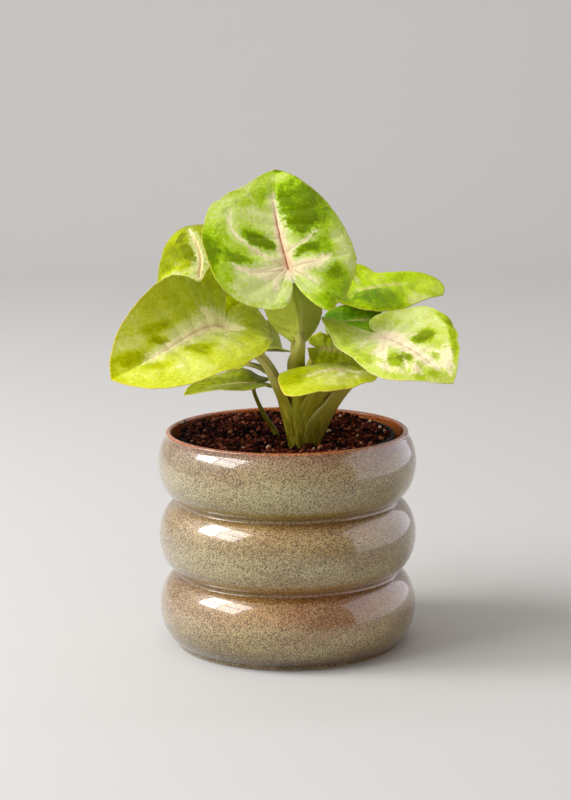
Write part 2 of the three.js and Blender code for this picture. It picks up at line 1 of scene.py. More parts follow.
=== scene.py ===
"""Looks of an arrowhead plant (Syngonium) in a nursery pot inside a ringed stoneware planter.

The packed model is the fixed frame. Every new piece is a surface worked out with numpy in millimetres, with +Z up,
the planter's foot on z = 0 and the front towards -Y, and goes into its mesh in metres.
"""

import math

import bpy
import numpy as np
from mathutils import Matrix


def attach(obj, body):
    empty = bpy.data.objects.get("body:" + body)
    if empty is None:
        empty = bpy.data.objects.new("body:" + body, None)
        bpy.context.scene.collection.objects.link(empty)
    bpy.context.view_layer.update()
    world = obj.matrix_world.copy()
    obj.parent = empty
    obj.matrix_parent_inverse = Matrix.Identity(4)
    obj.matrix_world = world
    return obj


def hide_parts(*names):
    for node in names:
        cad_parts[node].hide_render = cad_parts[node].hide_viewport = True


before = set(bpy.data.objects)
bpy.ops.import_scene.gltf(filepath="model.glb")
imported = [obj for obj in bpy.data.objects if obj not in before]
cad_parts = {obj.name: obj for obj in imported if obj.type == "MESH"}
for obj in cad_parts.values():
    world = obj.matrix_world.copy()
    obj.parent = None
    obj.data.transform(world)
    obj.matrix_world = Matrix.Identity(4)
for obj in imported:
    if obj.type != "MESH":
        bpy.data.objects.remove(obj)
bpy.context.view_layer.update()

bl_info = {
    "name": "Arrowhead Plant in a Ringed Planter",
    "version": (1, 0, 0),
    "blender": (4, 5, 0),
    "location": "3D View > Sidebar > Arrowhead Plant",
    "description": "Builds the finished surfaces of a potted arrowhead plant and its studio stage",
    "category": "Object",
}

MM = 0.001  # metres in a millimetre

# ---- Sizes of the frame, in mm ------------------------------------------------------------------

RING_COUNT = 3
RING_HALF_HEIGHT = 19.73
FIRST_RING_Z = 20.2
FULL_RADIUS = 70.0
CREASE_RADIUS = 56.6
CREASE_ROUNDING = 1.4
RING_START = -62.0  # degrees on the lowest ring, where it meets the foot
RING_END = 46.0  # degrees on the highest ring, where the lip starts
FOOT_RADIUS = 61.6
FOOT_HEIGHT = 2.8
FOOT_ROUNDING = 1.0
LIP_TOP = 116.7
LIP_INNER_RADIUS = 62.8
LIP_THICKNESS = 2.8
INNER_CREASE_RADIUS = 51.8
FLOOR_Z = 10.0
WALL_LEAST = 1.5
BAND_SHIFT = 4.5  # how far the clouds lift the glaze's bands on average
LIP_FADE = 1.6  # the inside's colour starts this far below the lip's top
LIP_SHARE = 0.65

NURSERY_WALL = 1.3
NURSERY_BOTTOM_Z = 10.3
NURSERY_BOTTOM_RADIUS = 43.0
NURSERY_COLLAR_Z = 101.0
NURSERY_BODY_TOP_RADIUS = 53.0
NURSERY_COLLAR_RADIUS = 57.4
NURSERY_RIM_RADIUS = 58.4
NURSERY_RIM_HEIGHT = 3.0
NURSERY_TOP_Z = 114.6
DRAIN_COUNT = 5
DRAIN_RADIUS = 4.0
DRAIN_CIRCLE = 27.0
NURSERY_SEGMENTS = 160
DRAIN_SEGMENTS = 24

SOIL_EDGE_Z = 113.4
SOIL_DIP = 1.9
SOIL_RELIEF = 1.1
SOIL_RADIUS = NURSERY_COLLAR_RADIUS - NURSERY_WALL - 0.3
SOIL_LUMP = 6.5
SOIL_CRUMB = 3.0
CRUMB_SEED = 7
CRUMB_LEAST = 0.22
CRUMB_RANGE = 0.95
BARK_SHARE = 0.12
PERLITE_SHARE = 0.006
# What perlite and the large pale chips add to the clumps' noise, which picks a colour of the potting mix.
PERLITE_TONE = 0.62
CHIP_TONE = 0.8

CROWN_SOIL = (8.4, -21.0)
CROWN_SPLIT = (10.0, -16.0)
CROWN_RADIUS = 9.6
CROWN_BOTTOM_Z = 94.0
CROWN_SHOULDER_Z = 112.6
CROWN_SHOULDER_DRAW = 2.5
CROWN_SEGMENTS = 40
SHEATH_ROOT_Z = 102.0
SOIL_LINE_Z = 112.0
SPLIT_Z = 133.0
SHEATH_GATHER = 0.42
SHEATH_SOIL_WIDTH = 6.0
SHEATH_LEAST_WRAP = 4.0
SHEATH_EDGE_SHARE = 0.22
SHEATH_SWELL = 3.0
SHEATH_FLARE = 2.4
SHEATH_TIP = 8.0
STALK_STEP = 1.6
STALK_SIDES = 28
STALK_CHANNEL = 0.16  # depth of the channel on its inner side, as a share of the radius
STALK_RIDGE = 0.018
STALK_RIDGES = 9
JOINT_SWELL = 0.22

BLADE_THICKNESS = 0.8
KEEL_DEPTH = 1.1
MARGIN_WIDTH = 0.9
MARGIN_WANDER = 0.55
RIM_THINNING = 0.6  # share of the thickness that is gone at the margin
CHANNEL_DEPTH = 0.36
SIDE_CHANNEL_DEPTH = 0.2
QUILT_HEIGHT = 0.45
QUILT_REACH = 4.5
LEAST_BEND = 1e-4  # degrees, so that a flat blade is a very slight arc too
OUTLINE_ANGLES = (0, 18, 42, 75, 110, 140, 160, 180)
HALF_WIDTH_SHARE = 0.6
LOBE_SHARE = 0.5
FLAT_REACH = 7.0
STALK_TIP_SHARE = 0.6
NECK_LENGTH = 9.0
WAVE_HEIGHT = 1.2
WAVE_TURNS = 5
WAVE_SHIFT = 40
CLEARANCE = 0.3

# ---- Leaves -------------------------------------------------------------------------------------
# joint: where the stalk meets the blade. aim: the midrib's compass angle from +X and its rise, roll about it.
# left, right: outline radii at OUTLINE_ANGLES between tip and sinus. fold, lobe_fold, curl bend each half; nod and
# heel bend tip and lobes down; sway and skew move tip and sinus sideways. stalk: its points above the split.
# sheath: half width at the split and the height where it ends. neck: the stalk's straight end.
# ribs: main veins as (path of (u, v), band half width in mm, strength). patches: (u, v, half length, half width,
# turn, depth), where turn is the long axis's angle from the midrib towards +u and depth runs from -1, pale, to 1,
# dark green. blots: the same for cream, with its strength at the end. line, flush, relief: how strongly the brown
# midrib line, the pink beside it and the vein relief show. palette: names in PALETTES.

LEAVES = [
    dict(
        name="top", joint=(1, -30, 208), aim=(108, 45), roll=-3, length=75, sinus=6,
        left=(59, 54, 47, 43, 34, 28), right=(63, 53, 44, 35, 33, 32),
        fold=(16, 5), lobe_fold=(-9, -3), curl=(-5, -34), nod=14, heel=-11, sway=12, skew=4,
        split=(7, -16), stalk=((4.5, -9, 158), (5, -9, 183)), girth=3.2, slot="cream_blade",
        palette="mint", body=-0.15, spokes=190, rings=110,
        ribs=[
            (((0, -1), (0, 8), (-0.5, 20), (-1.2, 38), (-2.4, 64)), 5.6, 1.0),
            (((-2, 1), (-12, 5), (-20, 11), (-27, 19), (-29.5, 27), (-27.5, 36), (-22, 45)), 2.2, 0.85),
            (((-3, -2), (-14, -5), (-24, -6), (-33, -3), (-36, 4)), 5.2, 1.0),
            (((0, 9), (6, 13.5), (13, 17), (20, 24), (24, 32)), 2.8, 0.8),
            (((2, 0), (10, 1.6), (18, 3), (25, 7), (29, 12)), 4.4, 0.95),
            (((3, -2), (9, -7), (16, -15)), 4.6, 0.75),
            (((-2, -3), (-9, -9), (-12, -19)), 4.4, 0.75),
        ],
        patches=[
            (15, 45, 20, 13, 10, 1.15), (5, 49, 7, 5, 0, 0.45), (13, 29, 9, 8, 0, 0.7), (12, 11.5, 8, 3.2, 58, 1.3),
            (22, 13, 9, 6, 60, 0.6), (25, -3, 6, 5, 60, 0.55), (26, -13, 13, 6, 10, 0.4), (17, -24, 6, 5, 0, 0.6),
            (-10, 52, 7, 4.5, -10, 0.75), (-14, 16, 10, 4.6, 118, 1.4), (-27, 1, 11, 4.2, 118, 1.1),
            (-41, 10, 12, 6, 0, 0.5), (-45, 5, 12, 5, 0, 0.9), (-25, -14, 6, 2.4, 80, 0.7), (-4, -12, 3, 3, 0, 0.9),
            (-19, 42, 4, 2, 60, 0.4),
            # The pale patch at (-17, -14) is partly the lobe's own mint and partly painted light against the shade on
            # the downturned lobe.
            (-28, 36, 12, 14, 0, -0.5), (-10, 32, 9, 7, 0, -0.6), (-17, -14, 12, 15, 0, -1.5), (9, -11, 8, 6, 0, -0.6),
            (34, 14, 15, 7, 0, -0.75), (-16, 57, 11, 7, -40, -0.7), (3, 67, 5, 5, 0, -0.35), (1.5, 75, 3, 3, 0, 1.5),
            (14, 6, 4, 7, 60, -0.4),
        ],
        blots=[
            (-12, -5, 10, 4, 82, 0.6), (12, 0, 9, 3.4, 80, 0.55), (0, -6, 5, 4, 0, 0.6), (4, 30, 10, 1.4, 0, 0.3),
            (-5, 31, 8, 2, 0, 0.3), (-13, -13, 8, 6, 30, 0.45), (-22, -10, 5, 4, 60, 0.22), (8, -13, 6, 4, -20, 0.25),
        ],
    ),
    dict(
        name="left", joint=(-33, -20, 176), aim=(-129, -8), roll=-35, length=70, sinus=5,
        left=(61, 43, 30, 26, 31, 27), right=(61, 51, 42, 28, 34, 25),
        fold=(17, 13), lobe_fold=(-31, 9), curl=(3, 54), nod=44, heel=1, sway=12, skew=40,
        split=(-1, -19), stalk=((-5.7, -19.5, 144.8), (-13, -20, 158)), neck=5, sheath=(4.3, 156), girth=3.3,
        slot="lime_blade",
        palette="straw", body=0.08, spokes=180, rings=104, line=0.45, flush=0.6,
        ribs=[
            (((0, 0), (2.6, 6), (3.2, 14), (2.4, 28), (0.6, 42), (-0.8, 62)), 5.0, 1.0),
            (((0, 1), (-6, 4), (-13, 12), (-20, 24)), 3.0, 0.5),
            (((-1, -1), (-6, -3), (-8, -12)), 3.4, 0.7),
            (((3, 8), (10, 12), (17, 20)), 2.6, 0.45),
            (((2, 22), (9, 28), (17, 40)), 2.2, 0.35),
            (((0, 24), (-9, 32), (-17, 44)), 2.2, 0.35),
        ],
        patches=[
            # The pale patch at (22, 42) is painted light that lightens the shaded upper half; those at (-18, 38) and
            # (-15, 14) are partly the leaf's own pale green and partly painted light on the lit lower half.
            (-8, 26, 9, 4, 75, 0.8), (-7, 48, 6, 3, 40, 0.6), (5, 55, 7, 4, 20, 0.8), (1, 67, 3, 8, 0, 0.5),
            (22, 42, 16, 9, 0, -0.2), (7, 37, 6, 2.4, 25, 1.15), (14, 35, 7, 3.2, 10, 0.75),
            (29, 28, 15, 8, -15, 0.12), (18, 18, 9, 8, 30, 0.1),
            (22, -2, 9, 10, 0, 0.2), (30, -6, 7, 6, 0, 0.2), (-6, 9, 6, 2, 40, 0.6), (-12, -12, 15, 8, 25, 0.4),
            (-4, -22, 10, 6, 0, 0.5), (-11, 20, 4, 2, 20, 0.5), (-18, 38, 8, 12, 0, -0.4), (-15, 14, 9, 10, 0, -0.4),
            (-7, 52, 12, 7, 0, -0.15), (7, 30, 8, 3, 10, -0.6), (8, 17, 9, 3.2, 10, -0.8), (12, 50, 8, 4, 20, -0.4),
        ],
        blots=[
            (-4, -3, 6, 4.5, 30, 0.9), (8, 3, 7, 4.5, 50, 0.7), (13, 8, 5, 1.8, 70, 0.6), (-15, 42, 2, 2, 0, 0.6),
            (-27, 28, 12, 4, 5, 0.2), (7, 12, 8, 1.6, 15, 0.4),
        ],
    ),
    dict(
        name="upper_left", joint=(-48, 31, 196), aim=(105, 56), roll=-12, length=54, sinus=4,
        left=(42, 34, 32, 30, 30, 23), right=(43, 35, 32, 30, 30, 23),
        fold=(-7, 6), lobe_fold=(0, 0), curl=(-65, -9), nod=59, heel=20, sway=-2, skew=-1,
        split=(-2, -11.5), stalk=((-6, -11, 148), (-15.3, -4, 160), (-30, 6, 172), (-44, 24, 181)), neck=7,
        sheath=(3.2, 144), girth=2.7, slot="olive_blade", palette="olive", body=0.6, spokes=120, rings=60,
        ribs=[
            (((0, 0), (3, 10), (2, 24), (1, 36), (-1, 48)), 2.2, 0.85),
            (((0, 2), (-9, 10), (-17, 22), (-21, 30)), 2.0, 0.3),
            (((1, 4), (12, 12), (20, 24)), 2.0, 0.4),
            (((2, -1), (12, -6), (20, -14)), 2.0, 0.3),
        ],
        patches=[
            (12, 24, 14, 6, 0, 0.8), (-6, 33, 4, 1.6, 25, 2.2), (-3, 18, 10, 2.6, -12, 0.9),
            (-17, 1, 13, 8, 90, -1.6), (-14, 21, 14, 7, 90, 0.3),
            (3, -6, 6, 4, 0, 0.8), (22, -3, 10, 8, 0, -0.25), (-8, 40, 9, 4, 0, -0.3), (16, 34, 7, 5, 20, -0.35),
        ],
        blots=[(2, 40, 9, 2, 0, 0.4)],
    ),
    dict(
        name="right", joint=(51, -29, 171), aim=(-47, -7), roll=19, length=55, sinus=4,
        left=(46, 40, 37, 33, 31, 23), right=(49, 45, 32, 30, 34, 24),
        fold=(-3, 13), lobe_fold=(-1, 28), curl=(7, -9), nod=20, heel=0, sway=7, skew=-7,
        split=(24, -23.5), stalk=((34, -20.5, 145),), sheath=(6.2, 152), girth=3.1, slot="cream_blade",
        palette="cream", body=-0.4, spokes=180, rings=100, line=0.5,
        ribs=[
            (((0, 0), (0.3, 10), (0.8, 26), (0.4, 49)), 8.0, 1.0),
            (((1, 3), (9, 9), (18, 18), (25, 27)), 3.6, 0.7),
            (((0, 16), (8, 22), (16, 33), (20, 38)), 3.2, 0.75),
            (((0, 4), (-9, 9), (-17, 20), (-20, 30)), 2.6, 0.55),
            (((0, 22), (-8, 30), (-12, 40)), 3.4, 0.7),
            (((1, -1), (10, -3), (20, 2), (26, 10)), 3.0, 0.6),
            (((-1, -1), (-10, -4), (-18, -12)), 2.6, 0.45),
        ],
        patches=[
            (-13.5, 17, 8, 5, 85, 1.5), (9, 25, 5.5, 4.2, 40, 1.15), (17, 25, 7, 3.8, 40, 1.05),
            (13, 42, 6, 3.4, 40, 0.6),
            (6, 45, 3, 4, 0, 0.5), (28, 11, 8, 4, 0, 0.4), (-10, -10, 9, 9, 0, 0.55), (5, -6, 7, 6, 0, 0.5),
            (15, -20, 9, 13, 0, 0.5), (-6, 34, 3, 3, 0, 0.6), (-26, 27, 20, 3.0, 40, 0.9), (-33, 14, 8, 2.6, 15, 0.8),
            (22, -4, 9, 7, 0, 0.2), (-24, 2, 15, 9, 0, -0.35),
        ],
        blots=[
            (1.5, 27, 20, 5, 0, 0.75), (23, 29, 10, 4, -25, 0.7), (13, 38, 6, 4, -30, 0.7), (4, 9, 7, 5.5, 0, 0.7),
            (-10, 38, 9, 4.4, 40, 0.85), (-6, 45, 6, 3.4, 30, 0.7), (-20, 28, 6, 3, 30, 0.4), (12, 10, 9, 2.6, 50, 0.7),
            (27, 4, 10, 3, 0, 0.35), (10, 33, 5, 3, 30, 0.5), (-4, 5, 6, 4, 0, 0.5), (18, 15, 8, 4, 20, 0.6),
            (26, 20, 7, 3, -20, 0.3),
        ],
    ),
    dict(
        name="upper_right", joint=(39.5, 28, 188), aim=(9, 8), roll=1, length=48, sinus=4,
        left=(51, 27, 27, 28, 26, 20), right=(40, 33, 30, 22, 23, 19),
        fold=(10, -6), lobe_fold=(41, 19), curl=(32, -26), nod=24, heel=-1, sway=2, skew=1,
        split=(14.5, -8), stalk=((13, 5, 150), (27, 16, 170)), sheath=(3.8, 150), girth=2.8, slot="lime_blade",
        palette="lime", body=0.1, spokes=120, rings=60, line=0.3,
        ribs=[
            (((0, 0), (-2, 10), (-6, 24), (-8, 38)), 1.8, 0.55),
            (((0, 0), (-10, 2), (-20, 1)), 2.0, 0.45),
            (((0, -1), (8, -6), (16, -10)), 1.8, 0.4),
            (((0, 8), (9, 14), (18, 20)), 1.4, 0.3),
        ],
        patches=[
            (15, 10, 13, 11, 0, 0.8), (8, 4, 8, 7, 0, 0.5), (-17, -11, 9, 8, 0, 0.9), (10, -14, 6, 7, 0, 0.7),
            (-8, -14, 5, 5, 0, -0.3), (-8, 44, 9, 8, 0, -0.4), (15, 31, 9, 8, 10, -0.95), (-14, 12, 6, 8, 0, -0.35),
        ],
        blots=[(-3, 30, 12, 2, -8, 0.25), (-12, 3, 7, 1.6, 85, 0.35)],
    ),
    dict(
        name="front", joint=(31, -37, 155), aim=(-146, 7), roll=-17, length=40, sinus=3,
        left=(44, 34, 23, 20, 17, 16), right=(36, 29, 27, 23, 21, 17),
        fold=(8, 2), lobe_fold=(28, 16), curl=(-6, -47), nod=30, heel=0, sway=1, skew=-10,
        split=(15.5, -27), stalk=((20, -30, 143),), sheath=(5.8, 150), girth=2.9, slot="lime_blade",
        palette="straw", body=0.26, spokes=120, rings=56, line=0.25, relief=0.4,
        ribs=[
            (((0, 0), (0.5, 10), (-1, 22), (-3, 32)), 2.4, 0.7),
            (((0, 2), (-7, 8), (-12, 18)), 2.4, 0.6),
            (((0, 10), (-7, 20), (-9, 28)), 2.0, 0.5),
            (((0, 3), (8, 6), (16, 14)), 2.0, 0.45),
            (((-1, -1), (-8, -3), (-14, 4)), 2.6, 0.65),
            (((1, -1), (8, -8), (12, -12)), 1.8, 0.4),
        ],
        patches=[
            (9, -10, 8, 6, 0, 1.0), (14, 4, 8, 6, 0, 0.25), (2, 30, 9, 9, 0, 0.6), (4, 26, 12, 9, 0, 0.2),
            (-13, 12, 10, 7, -30, -0.5), (-10, 24, 8, 6, 0, -0.45), (10, -13, 5, 6, 0, -0.35),
        ],
        blots=[(-10, 6, 9, 3, 60, 0.5), (-17, 16, 9, 2, 0, 0.45), (-5, -5, 6, 4, 30, 0.6)],
    ),
    dict(
        name="lower_left", joint=(-17.5, 3, 141.4), aim=(-168, 3), roll=-10, length=39, sinus=3,
        left=(31, 26, 22, 16, 12, 8), right=(34, 26, 22, 18, 14, 10),
        fold=(12, 7), lobe_fold=(-9, -14), curl=(2, -14), nod=25, heel=0, sway=3, skew=7,
        rooted=(-5, 1), stalk=((-5.6, 1, 113.3), (-12.2, 1.5, 124.1)), neck=3, girth=1.9, slot="olive_blade",
        palette="olive", body=0.95, relief=0.4, spokes=90, rings=44,
        ribs=[(((0, 0), (0, 14), (0, 34)), 1.3, 0.4)],
        patches=[(14, 20, 12, 4, 10, -0.55), (-4, 8, 10, 12, 0, 0.2), (-8, 30, 6, 6, 0, -0.2)],
        blots=[(17, 16, 12, 2.4, 12, 0.4)],
    ),
    dict(
        name="young", joint=(7, -29, 172), aim=(88, 106), roll=183, length=29, sinus=4,
        left=(29, 28, 21, 10, 6, 5), right=(30, 29, 22, 10, 6, 5),
        fold=(46, 36), lobe_fold=(0, 0), curl=(12, 2), nod=0, heel=0, sway=6, skew=0,
        split=(7.5, -25.5), stalk=((4.8, -21.7, 152),), sheath=(5, 174), girth=3, slot="olive_blade",
        palette="olive", body=0.35, spokes=90, rings=44, relief=0.5,
        ribs=[(((0, 0), (-1, 8), (-4, 18), (-4, 27)), 1.6, 0.5), (((-2, 6), (-8, 14), (-14, 17)), 1.2, 0.3)],
        patches=[(12, 18, 10, 6, 0, 0.3), (-14, 10, 8, 6, 0, 0.35), (-6, 20, 5, 4, 0, -0.4)],
        blots=[(-14, 16, 6, 1.6, 40, 0.3)],
    ),
    dict(
        name="inner_left", joint=(-24, 18, 158.5), aim=(34, 4), roll=32, length=34, sinus=3,
        left=(33, 26, 23, 22, 22, 16), right=(31, 26, 23, 21, 22, 16),
        fold=(25, 20), lobe_fold=(0, -22), curl=(2, 25), nod=38, heel=15, sway=-3, skew=2,
        split=(2.5, -6), stalk=((-5, -1, 144), (-14.5, 9.5, 149), (-23.5, 20, 150.5)), neck=5, sheath=(3.2, 144),
        girth=2.5, slot="olive_blade",
        palette="olive", body=0.05, spokes=90, rings=44,
        ribs=[(((0, 0), (0, 14), (0, 30)), 1.3, 0.6), (((0, 2), (9, 8), (15, 18)), 1.1, 0.4)],
        patches=[(-10, 12, 10, 7, 0, 0.45), (8, 6, 10, 8, 0, -0.35), (-10, -8, 7, 6, 0, -0.4)],
        blots=[(-12, -2, 5, 2, 0, 0.4)],
    ),
    dict(
        name="inner_right", joint=(19, -2, 161), aim=(0, -9), roll=42, length=25, sinus=2,
        left=(20, 15, 10.5, 10, 10, 8), right=(20, 17, 14, 11, 10, 8),
        fold=(0, 7), lobe_fold=(6, 39), curl=(-5, -34), nod=2, heel=-7, sway=-2, skew=1,
        split=(15.5, -18), stalk=((15, -8, 148),), girth=2.7, slot="olive_blade",
        palette="olive", body=0.0, spokes=80, rings=40,
        ribs=[(((0, 0), (0, 10), (0, 21)), 1.1, 0.5)],
        patches=[(5, 3, 6, 6, 0, 0.4), (-4, 12, 7, 5, 0, -0.4)],
        blots=[(11, 6, 7, 1.6, 0, 0.4)],
    ),
    dict(
        name="middle_right", joint=(43.5, 8, 174.8), aim=(187, 7), roll=-32, length=27, sinus=2,
        left=(24, 22, 19, 18, 17, 13), right=(25, 17, 12, 11, 11, 9),
        fold=(16, 12), lobe_fold=(0, 0), curl=(0, 0), nod=77, heel=10, sway=9, skew=0,
        split=(22, -11), stalk=((23, -2, 145), (33, 14, 160)), sheath=(3.8, 146), girth=2.5, slot="olive_blade",
        palette="shade", body=0.4, relief=0.5, spokes=80, rings=40,
        ribs=[(((0, 0), (-2, 8), (0, 26)), 1.2, 0.5), (((0, 2), (-8, 3), (-14, 6)), 1.0, 0.3)],
        patches=[(-2, 14, 8, 9, 0, 0.8), (4, 22, 6, 5, 0, 0.7), (-10, -6, 6, 7, 0, -0.3)],
        blots=[(-12, -10, 4, 2, 0, 0.3)],
    ),
]

# Leaf colours as sRGB: the five depths from pale to dark, then cream, blush, midrib line, margin and underside.
PALETTES = {
    "mint": "#deee96 #c8e254 #a8d014 #88ac00 #6a8600 #fff6c4 #f4c4a0 #a2503a #cfc04c #b9c66c",
    "straw": "#e4e898 #d7dd66 #c6cf34 #b1bb06 #939d00 #fff6bc #f4d6a8 #ac7a50 #e9c95e #c3c766",
    "olive": "#cad294 #b6c260 #aebc0c #949e00 #707c00 #f2eab0 #dec690 #a5854a #d2c04c #a9b04c",
    "cream": "#dee89c #cede60 #b4cc22 #96ae02 #728800 #fff4c4 #fbe6c4 #bb8662 #efe4a0 #c6cc7a",
    "lime": "#e8f490 #d4ec44 #bcdc10 #9cc000 #78a000 #f6f2b4 #ead89a #b08a50 #decb58 #b4c852",
    # The shade palette is a darker copy of the greens for the middle right leaf: painted shade.
    "shade": "#cad87c #b0c834 #8eb20e #679406 #467404 #e4e4a0 #d1c184 #8a7a3a #b9b13c #93a03c",
}

# ---- Small helpers ------------------------------------------------------------------------------


def linear(code):
    """Linear RGBA of an sRGB hex colour: c / 12.92 below 0.04045, else ((c + 0.055) / 1.055) ** 2.4."""
    channels = [int(code[i : i + 2], 16) / 255 for i in (1, 3, 5)]
    return tuple(c / 12.92 if c <= 0.04045 else ((c + 0.055) / 1.055) ** 2.4 for c in channels) + (1.0,)


def plug(tree, node, links):
    """Gives a node's inputs, by name or number, their sockets, nodes (their first live output) or values."""
    for key, value in links.items():
        if isinstance(value, bpy.types.Node):
            value = next(socket for socket in value.outputs if socket.enabled)
        if isinstance(value, bpy.types.NodeSocket):
            tree.links.new(value, node.inputs[key])
        else:
            node.inputs[key].default_value = value


def add_node(tree, kind, links=None, **settings):
    """Adds a node with its settings and plugs in its links."""
    node = tree.nodes.new(kind)
    for key, value in settings.items():
        setattr(node, key, value)
    plug(tree, node, links or {})
    return node


def set_stops(ramp, stops, interpolation="LINEAR"):
    """Gives a colour ramp its stops, each a place from 0 to 1, in rising order, and an RGBA colour."""
    ramp.interpolation = interpolation
    stops = list(stops)
    while len(ramp.elements) < len(stops):
        ramp.elements.new(0.5)
    for element, (place, shade) in zip(ramp.elements, stops):
        element.position = place
        element.color = shade


def new_material(name):
    """A material with an empty node tree but for its output and one Principled shader."""
    material = bpy.data.materials.new(name)
    material.use_nodes = True
    tree = material.node_tree
    tree.nodes.clear()
    shader = add_node(tree, "ShaderNodeBsdfPrincipled")
    add_node(tree, "ShaderNodeOutputMaterial", {"Surface": shader})
    return material, tree, shader


def colour_property(name, description, code):
    """A colour setting whose default is an sRGB hex value."""
    return bpy.props.FloatVectorProperty(
        name=name, description=description, size=4, subtype="COLOR", default=linear(code)
    )


def length_property(name, description, size):
    """A length setting whose default is in mm."""
    return bpy.props.FloatProperty(
        name=name, description=description, default=size * MM, unit="LENGTH", precision=5
    )


def smooth(t):
    """Smoothstep of t held between 0 and 1: 3 t^2 - 2 t^3."""
    t = np.clip(t, 0, 1)
    return t * t * (3 - 2 * t)


def hermite(t, start, end, leave, arrive):
    """Cubic from start to end as t goes from 0 to 1, with the slopes leave and arrive at its ends."""
    level = (2 * t**3 - 3 * t**2 + 1) * start + (t**3 - 2 * t**2 + t) * leave
    return level + (3 * t**2 - 2 * t**3) * end + (t**3 - t**2) * arrive


def round_angles(count):
    """Angles of even steps once round a circle, in radians."""
    return np.linspace(0, 2 * math.pi, count, endpoint=False)


def cell_value(i, j):
    """Repeatable number from 0 to 1 for a grid cell: the fraction of a large sine."""
    s = np.sin(i * 127.1 + j * 311.7) * 43758.5453
    return s - np.floor(s)


def lumps(x, y):
    """Smooth noise from -1 to 1 with lumps of unit size: cell numbers blended by smoothstep both ways."""
    i, j = np.floor(x), np.floor(y)
    fx, fy = smooth(x - i), smooth(y - j)
    low = cell_value(i, j) * (1 - fx) + cell_value(i + 1, j) * fx
    high = cell_value(i, j + 1) * (1 - fx) + cell_value(i + 1, j + 1) * fx
    return 2 * (low * (1 - fy) + high * fy) - 1


def grid_quads(rows, columns, wrap=True):
    """Quads of a grid of points laid out row by row; with wrap the last column joins the first."""
    i, j = np.meshgrid(np.arange(rows - 1), np.arange(columns if wrap else columns - 1), indexing="ij")
    k = (j + 1) % columns
    corners = (i * columns + j, i * columns + k, (i + 1) * columns + k, (i + 1) * columns + j)
    return np.stack(corners, -1).reshape(-1, 4)


def fan(hub, ring, flip=False):
    """Triangles from a hub to each pair of neighbours on a closed ring of point numbers."""
    after = np.roll(ring, -1)
    hubs = np.full(len(ring), hub)
    return np.stack((hubs, after, ring) if flip else (hubs, ring, after), -1)


def make_object(name, points, face_sets, material, attributes=None, uv=None):
    """Puts points in mm and sets of faces into a smooth mesh in metres, in an object of its own.
    attributes maps names to one number per point, and uv is one (u, v) per point."""
    mesh = bpy.data.meshes.new(name)
    mesh.vertices.add(len(points))
    mesh.vertices.foreach_set("co", (np.asarray(points) * MM).astype(np.float32).ravel())
    corners = np.concatenate([np.asarray(faces).ravel() for faces in face_sets])
    counts = np.concatenate([np.full(len(faces), np.shape(faces)[1]) for faces in face_sets])
    mesh.loops.add(len(corners))
    mesh.loops.foreach_set("vertex_index", corners.astype(np.int32))
    mesh.polygons.add(len(counts))
    mesh.polygons.foreach_set("loop_start", (np.cumsum(counts) - counts).astype(np.int32))
    mesh.update(calc_edges=True)
    mesh.shade_smooth()
    for key, values in (attributes or {}).items():
        layer = mesh.attributes.new(key, "FLOAT", "POINT")
        layer.data.foreach_set("value", np.asarray(values, np.float32))
    if uv is not None:
        layer = mesh.uv_layers.new(name="UVMap")
        layer.data.foreach_set("uv", np.asarray(uv, np.float32)[corners].ravel())
    mesh.validate()
    mesh.materials.append(material)
    thing = bpy.data.objects.new(name, mesh)
    bpy.context.scene.collection.objects.link(thing)
    return thing


def make_piece(name, points, face_sets, material, slot, attributes=None, uv=None):
    """An object as above that rides on the root. The slot argument is not used."""
    piece = make_object(name, points, face_sets, material, attributes, uv)
    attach(piece, "root")
    return piece


def capped(rings, first, last):
    """Points and face sets of rings of points joined in a wall and closed at each end by a fan on its middle point."""
    rows, columns = rings.shape[:2]
    count = rows * columns
    around = np.arange(columns)
    points = np.concatenate((rings.reshape(-1, 3), (first, last)))
    return points, [grid_quads(rows, columns), fan(count, around, flip=True), fan(count + 1, count - columns + around)]


def turned(profile, segments):
    """Surface of revolution: a profile point (r, z) goes round as (r cos a, r sin a, z). The first and last points
    lie on the axis and close the ends."""
    profile = np.asarray(profile, float)
    angle = round_angles(segments)
    r, z = profile[1:-1, :1], profile[1:-1, 1:]
    rings = np.stack(np.broadcast_arrays(r * np.cos(angle), r * np.sin(angle), z), -1)
    return capped(rings, (0, 0, profile[0, 1]), (0, 0, profile[-1, 1]))


def arc(centre, radius, start, end, steps, squash=1.0):
    """Points (r, z) of a half-ellipse section: centre + (radius cos a, squash * radius sin a), a in degrees."""
    a = np.radians(np.linspace(start, end, steps))
    return np.stack((centre[0] + radius * np.cos(a), centre[1] + squash * radius * np.sin(a)), -1)


# ---- Planter ------------------------------------------------------------------------------------


def ring_arc(ring, start, end, crease, full, steps):
    """One swollen ring's section: r = crease + (full - crease) cos a, z = ring middle + half height * sin a."""
    middle = FIRST_RING_Z + 2 * RING_HALF_HEIGHT * ring
    depth = full - crease
    return arc((crease, middle), depth, start, end, steps, RING_HALF_HEIGHT / depth)


def crease_fillet(ring, radius, steps=9):
    """Round groove above a ring: a circle that touches the ring's shoulder and the underside of the next. The ring is
    left e before its top, where the circle's middle lies level with the crease:
    half height * (1 - cos e) = radius * (height part of the unit normal at e). Returns e in degrees and the points."""
    depth = FULL_RADIUS - CREASE_RADIUS
    e = np.linspace(0, math.pi / 3, 2000)
    size = np.hypot(RING_HALF_HEIGHT * np.sin(e), depth * np.cos(e))
    above = radius * depth * np.cos(e) / size - RING_HALF_HEIGHT * (1 - np.cos(e))
    e = float(np.interp(0, above[::-1], e[::-1]))
    normal = np.array((RING_HALF_HEIGHT * math.sin(e), depth * math.cos(e)))
    normal /= np.linalg.norm(normal)
    centre = CREASE_RADIUS + depth * math.sin(e) + radius * normal[0]
    tilt = math.degrees(math.atan2(normal[1], normal[0]))
    height = FIRST_RING_Z + RING_HALF_HEIGHT * (2 * ring + 1)
    return math.degrees(e), arc((centre, height), radius, 180 + tilt, 180 - tilt, steps)[1:-1]


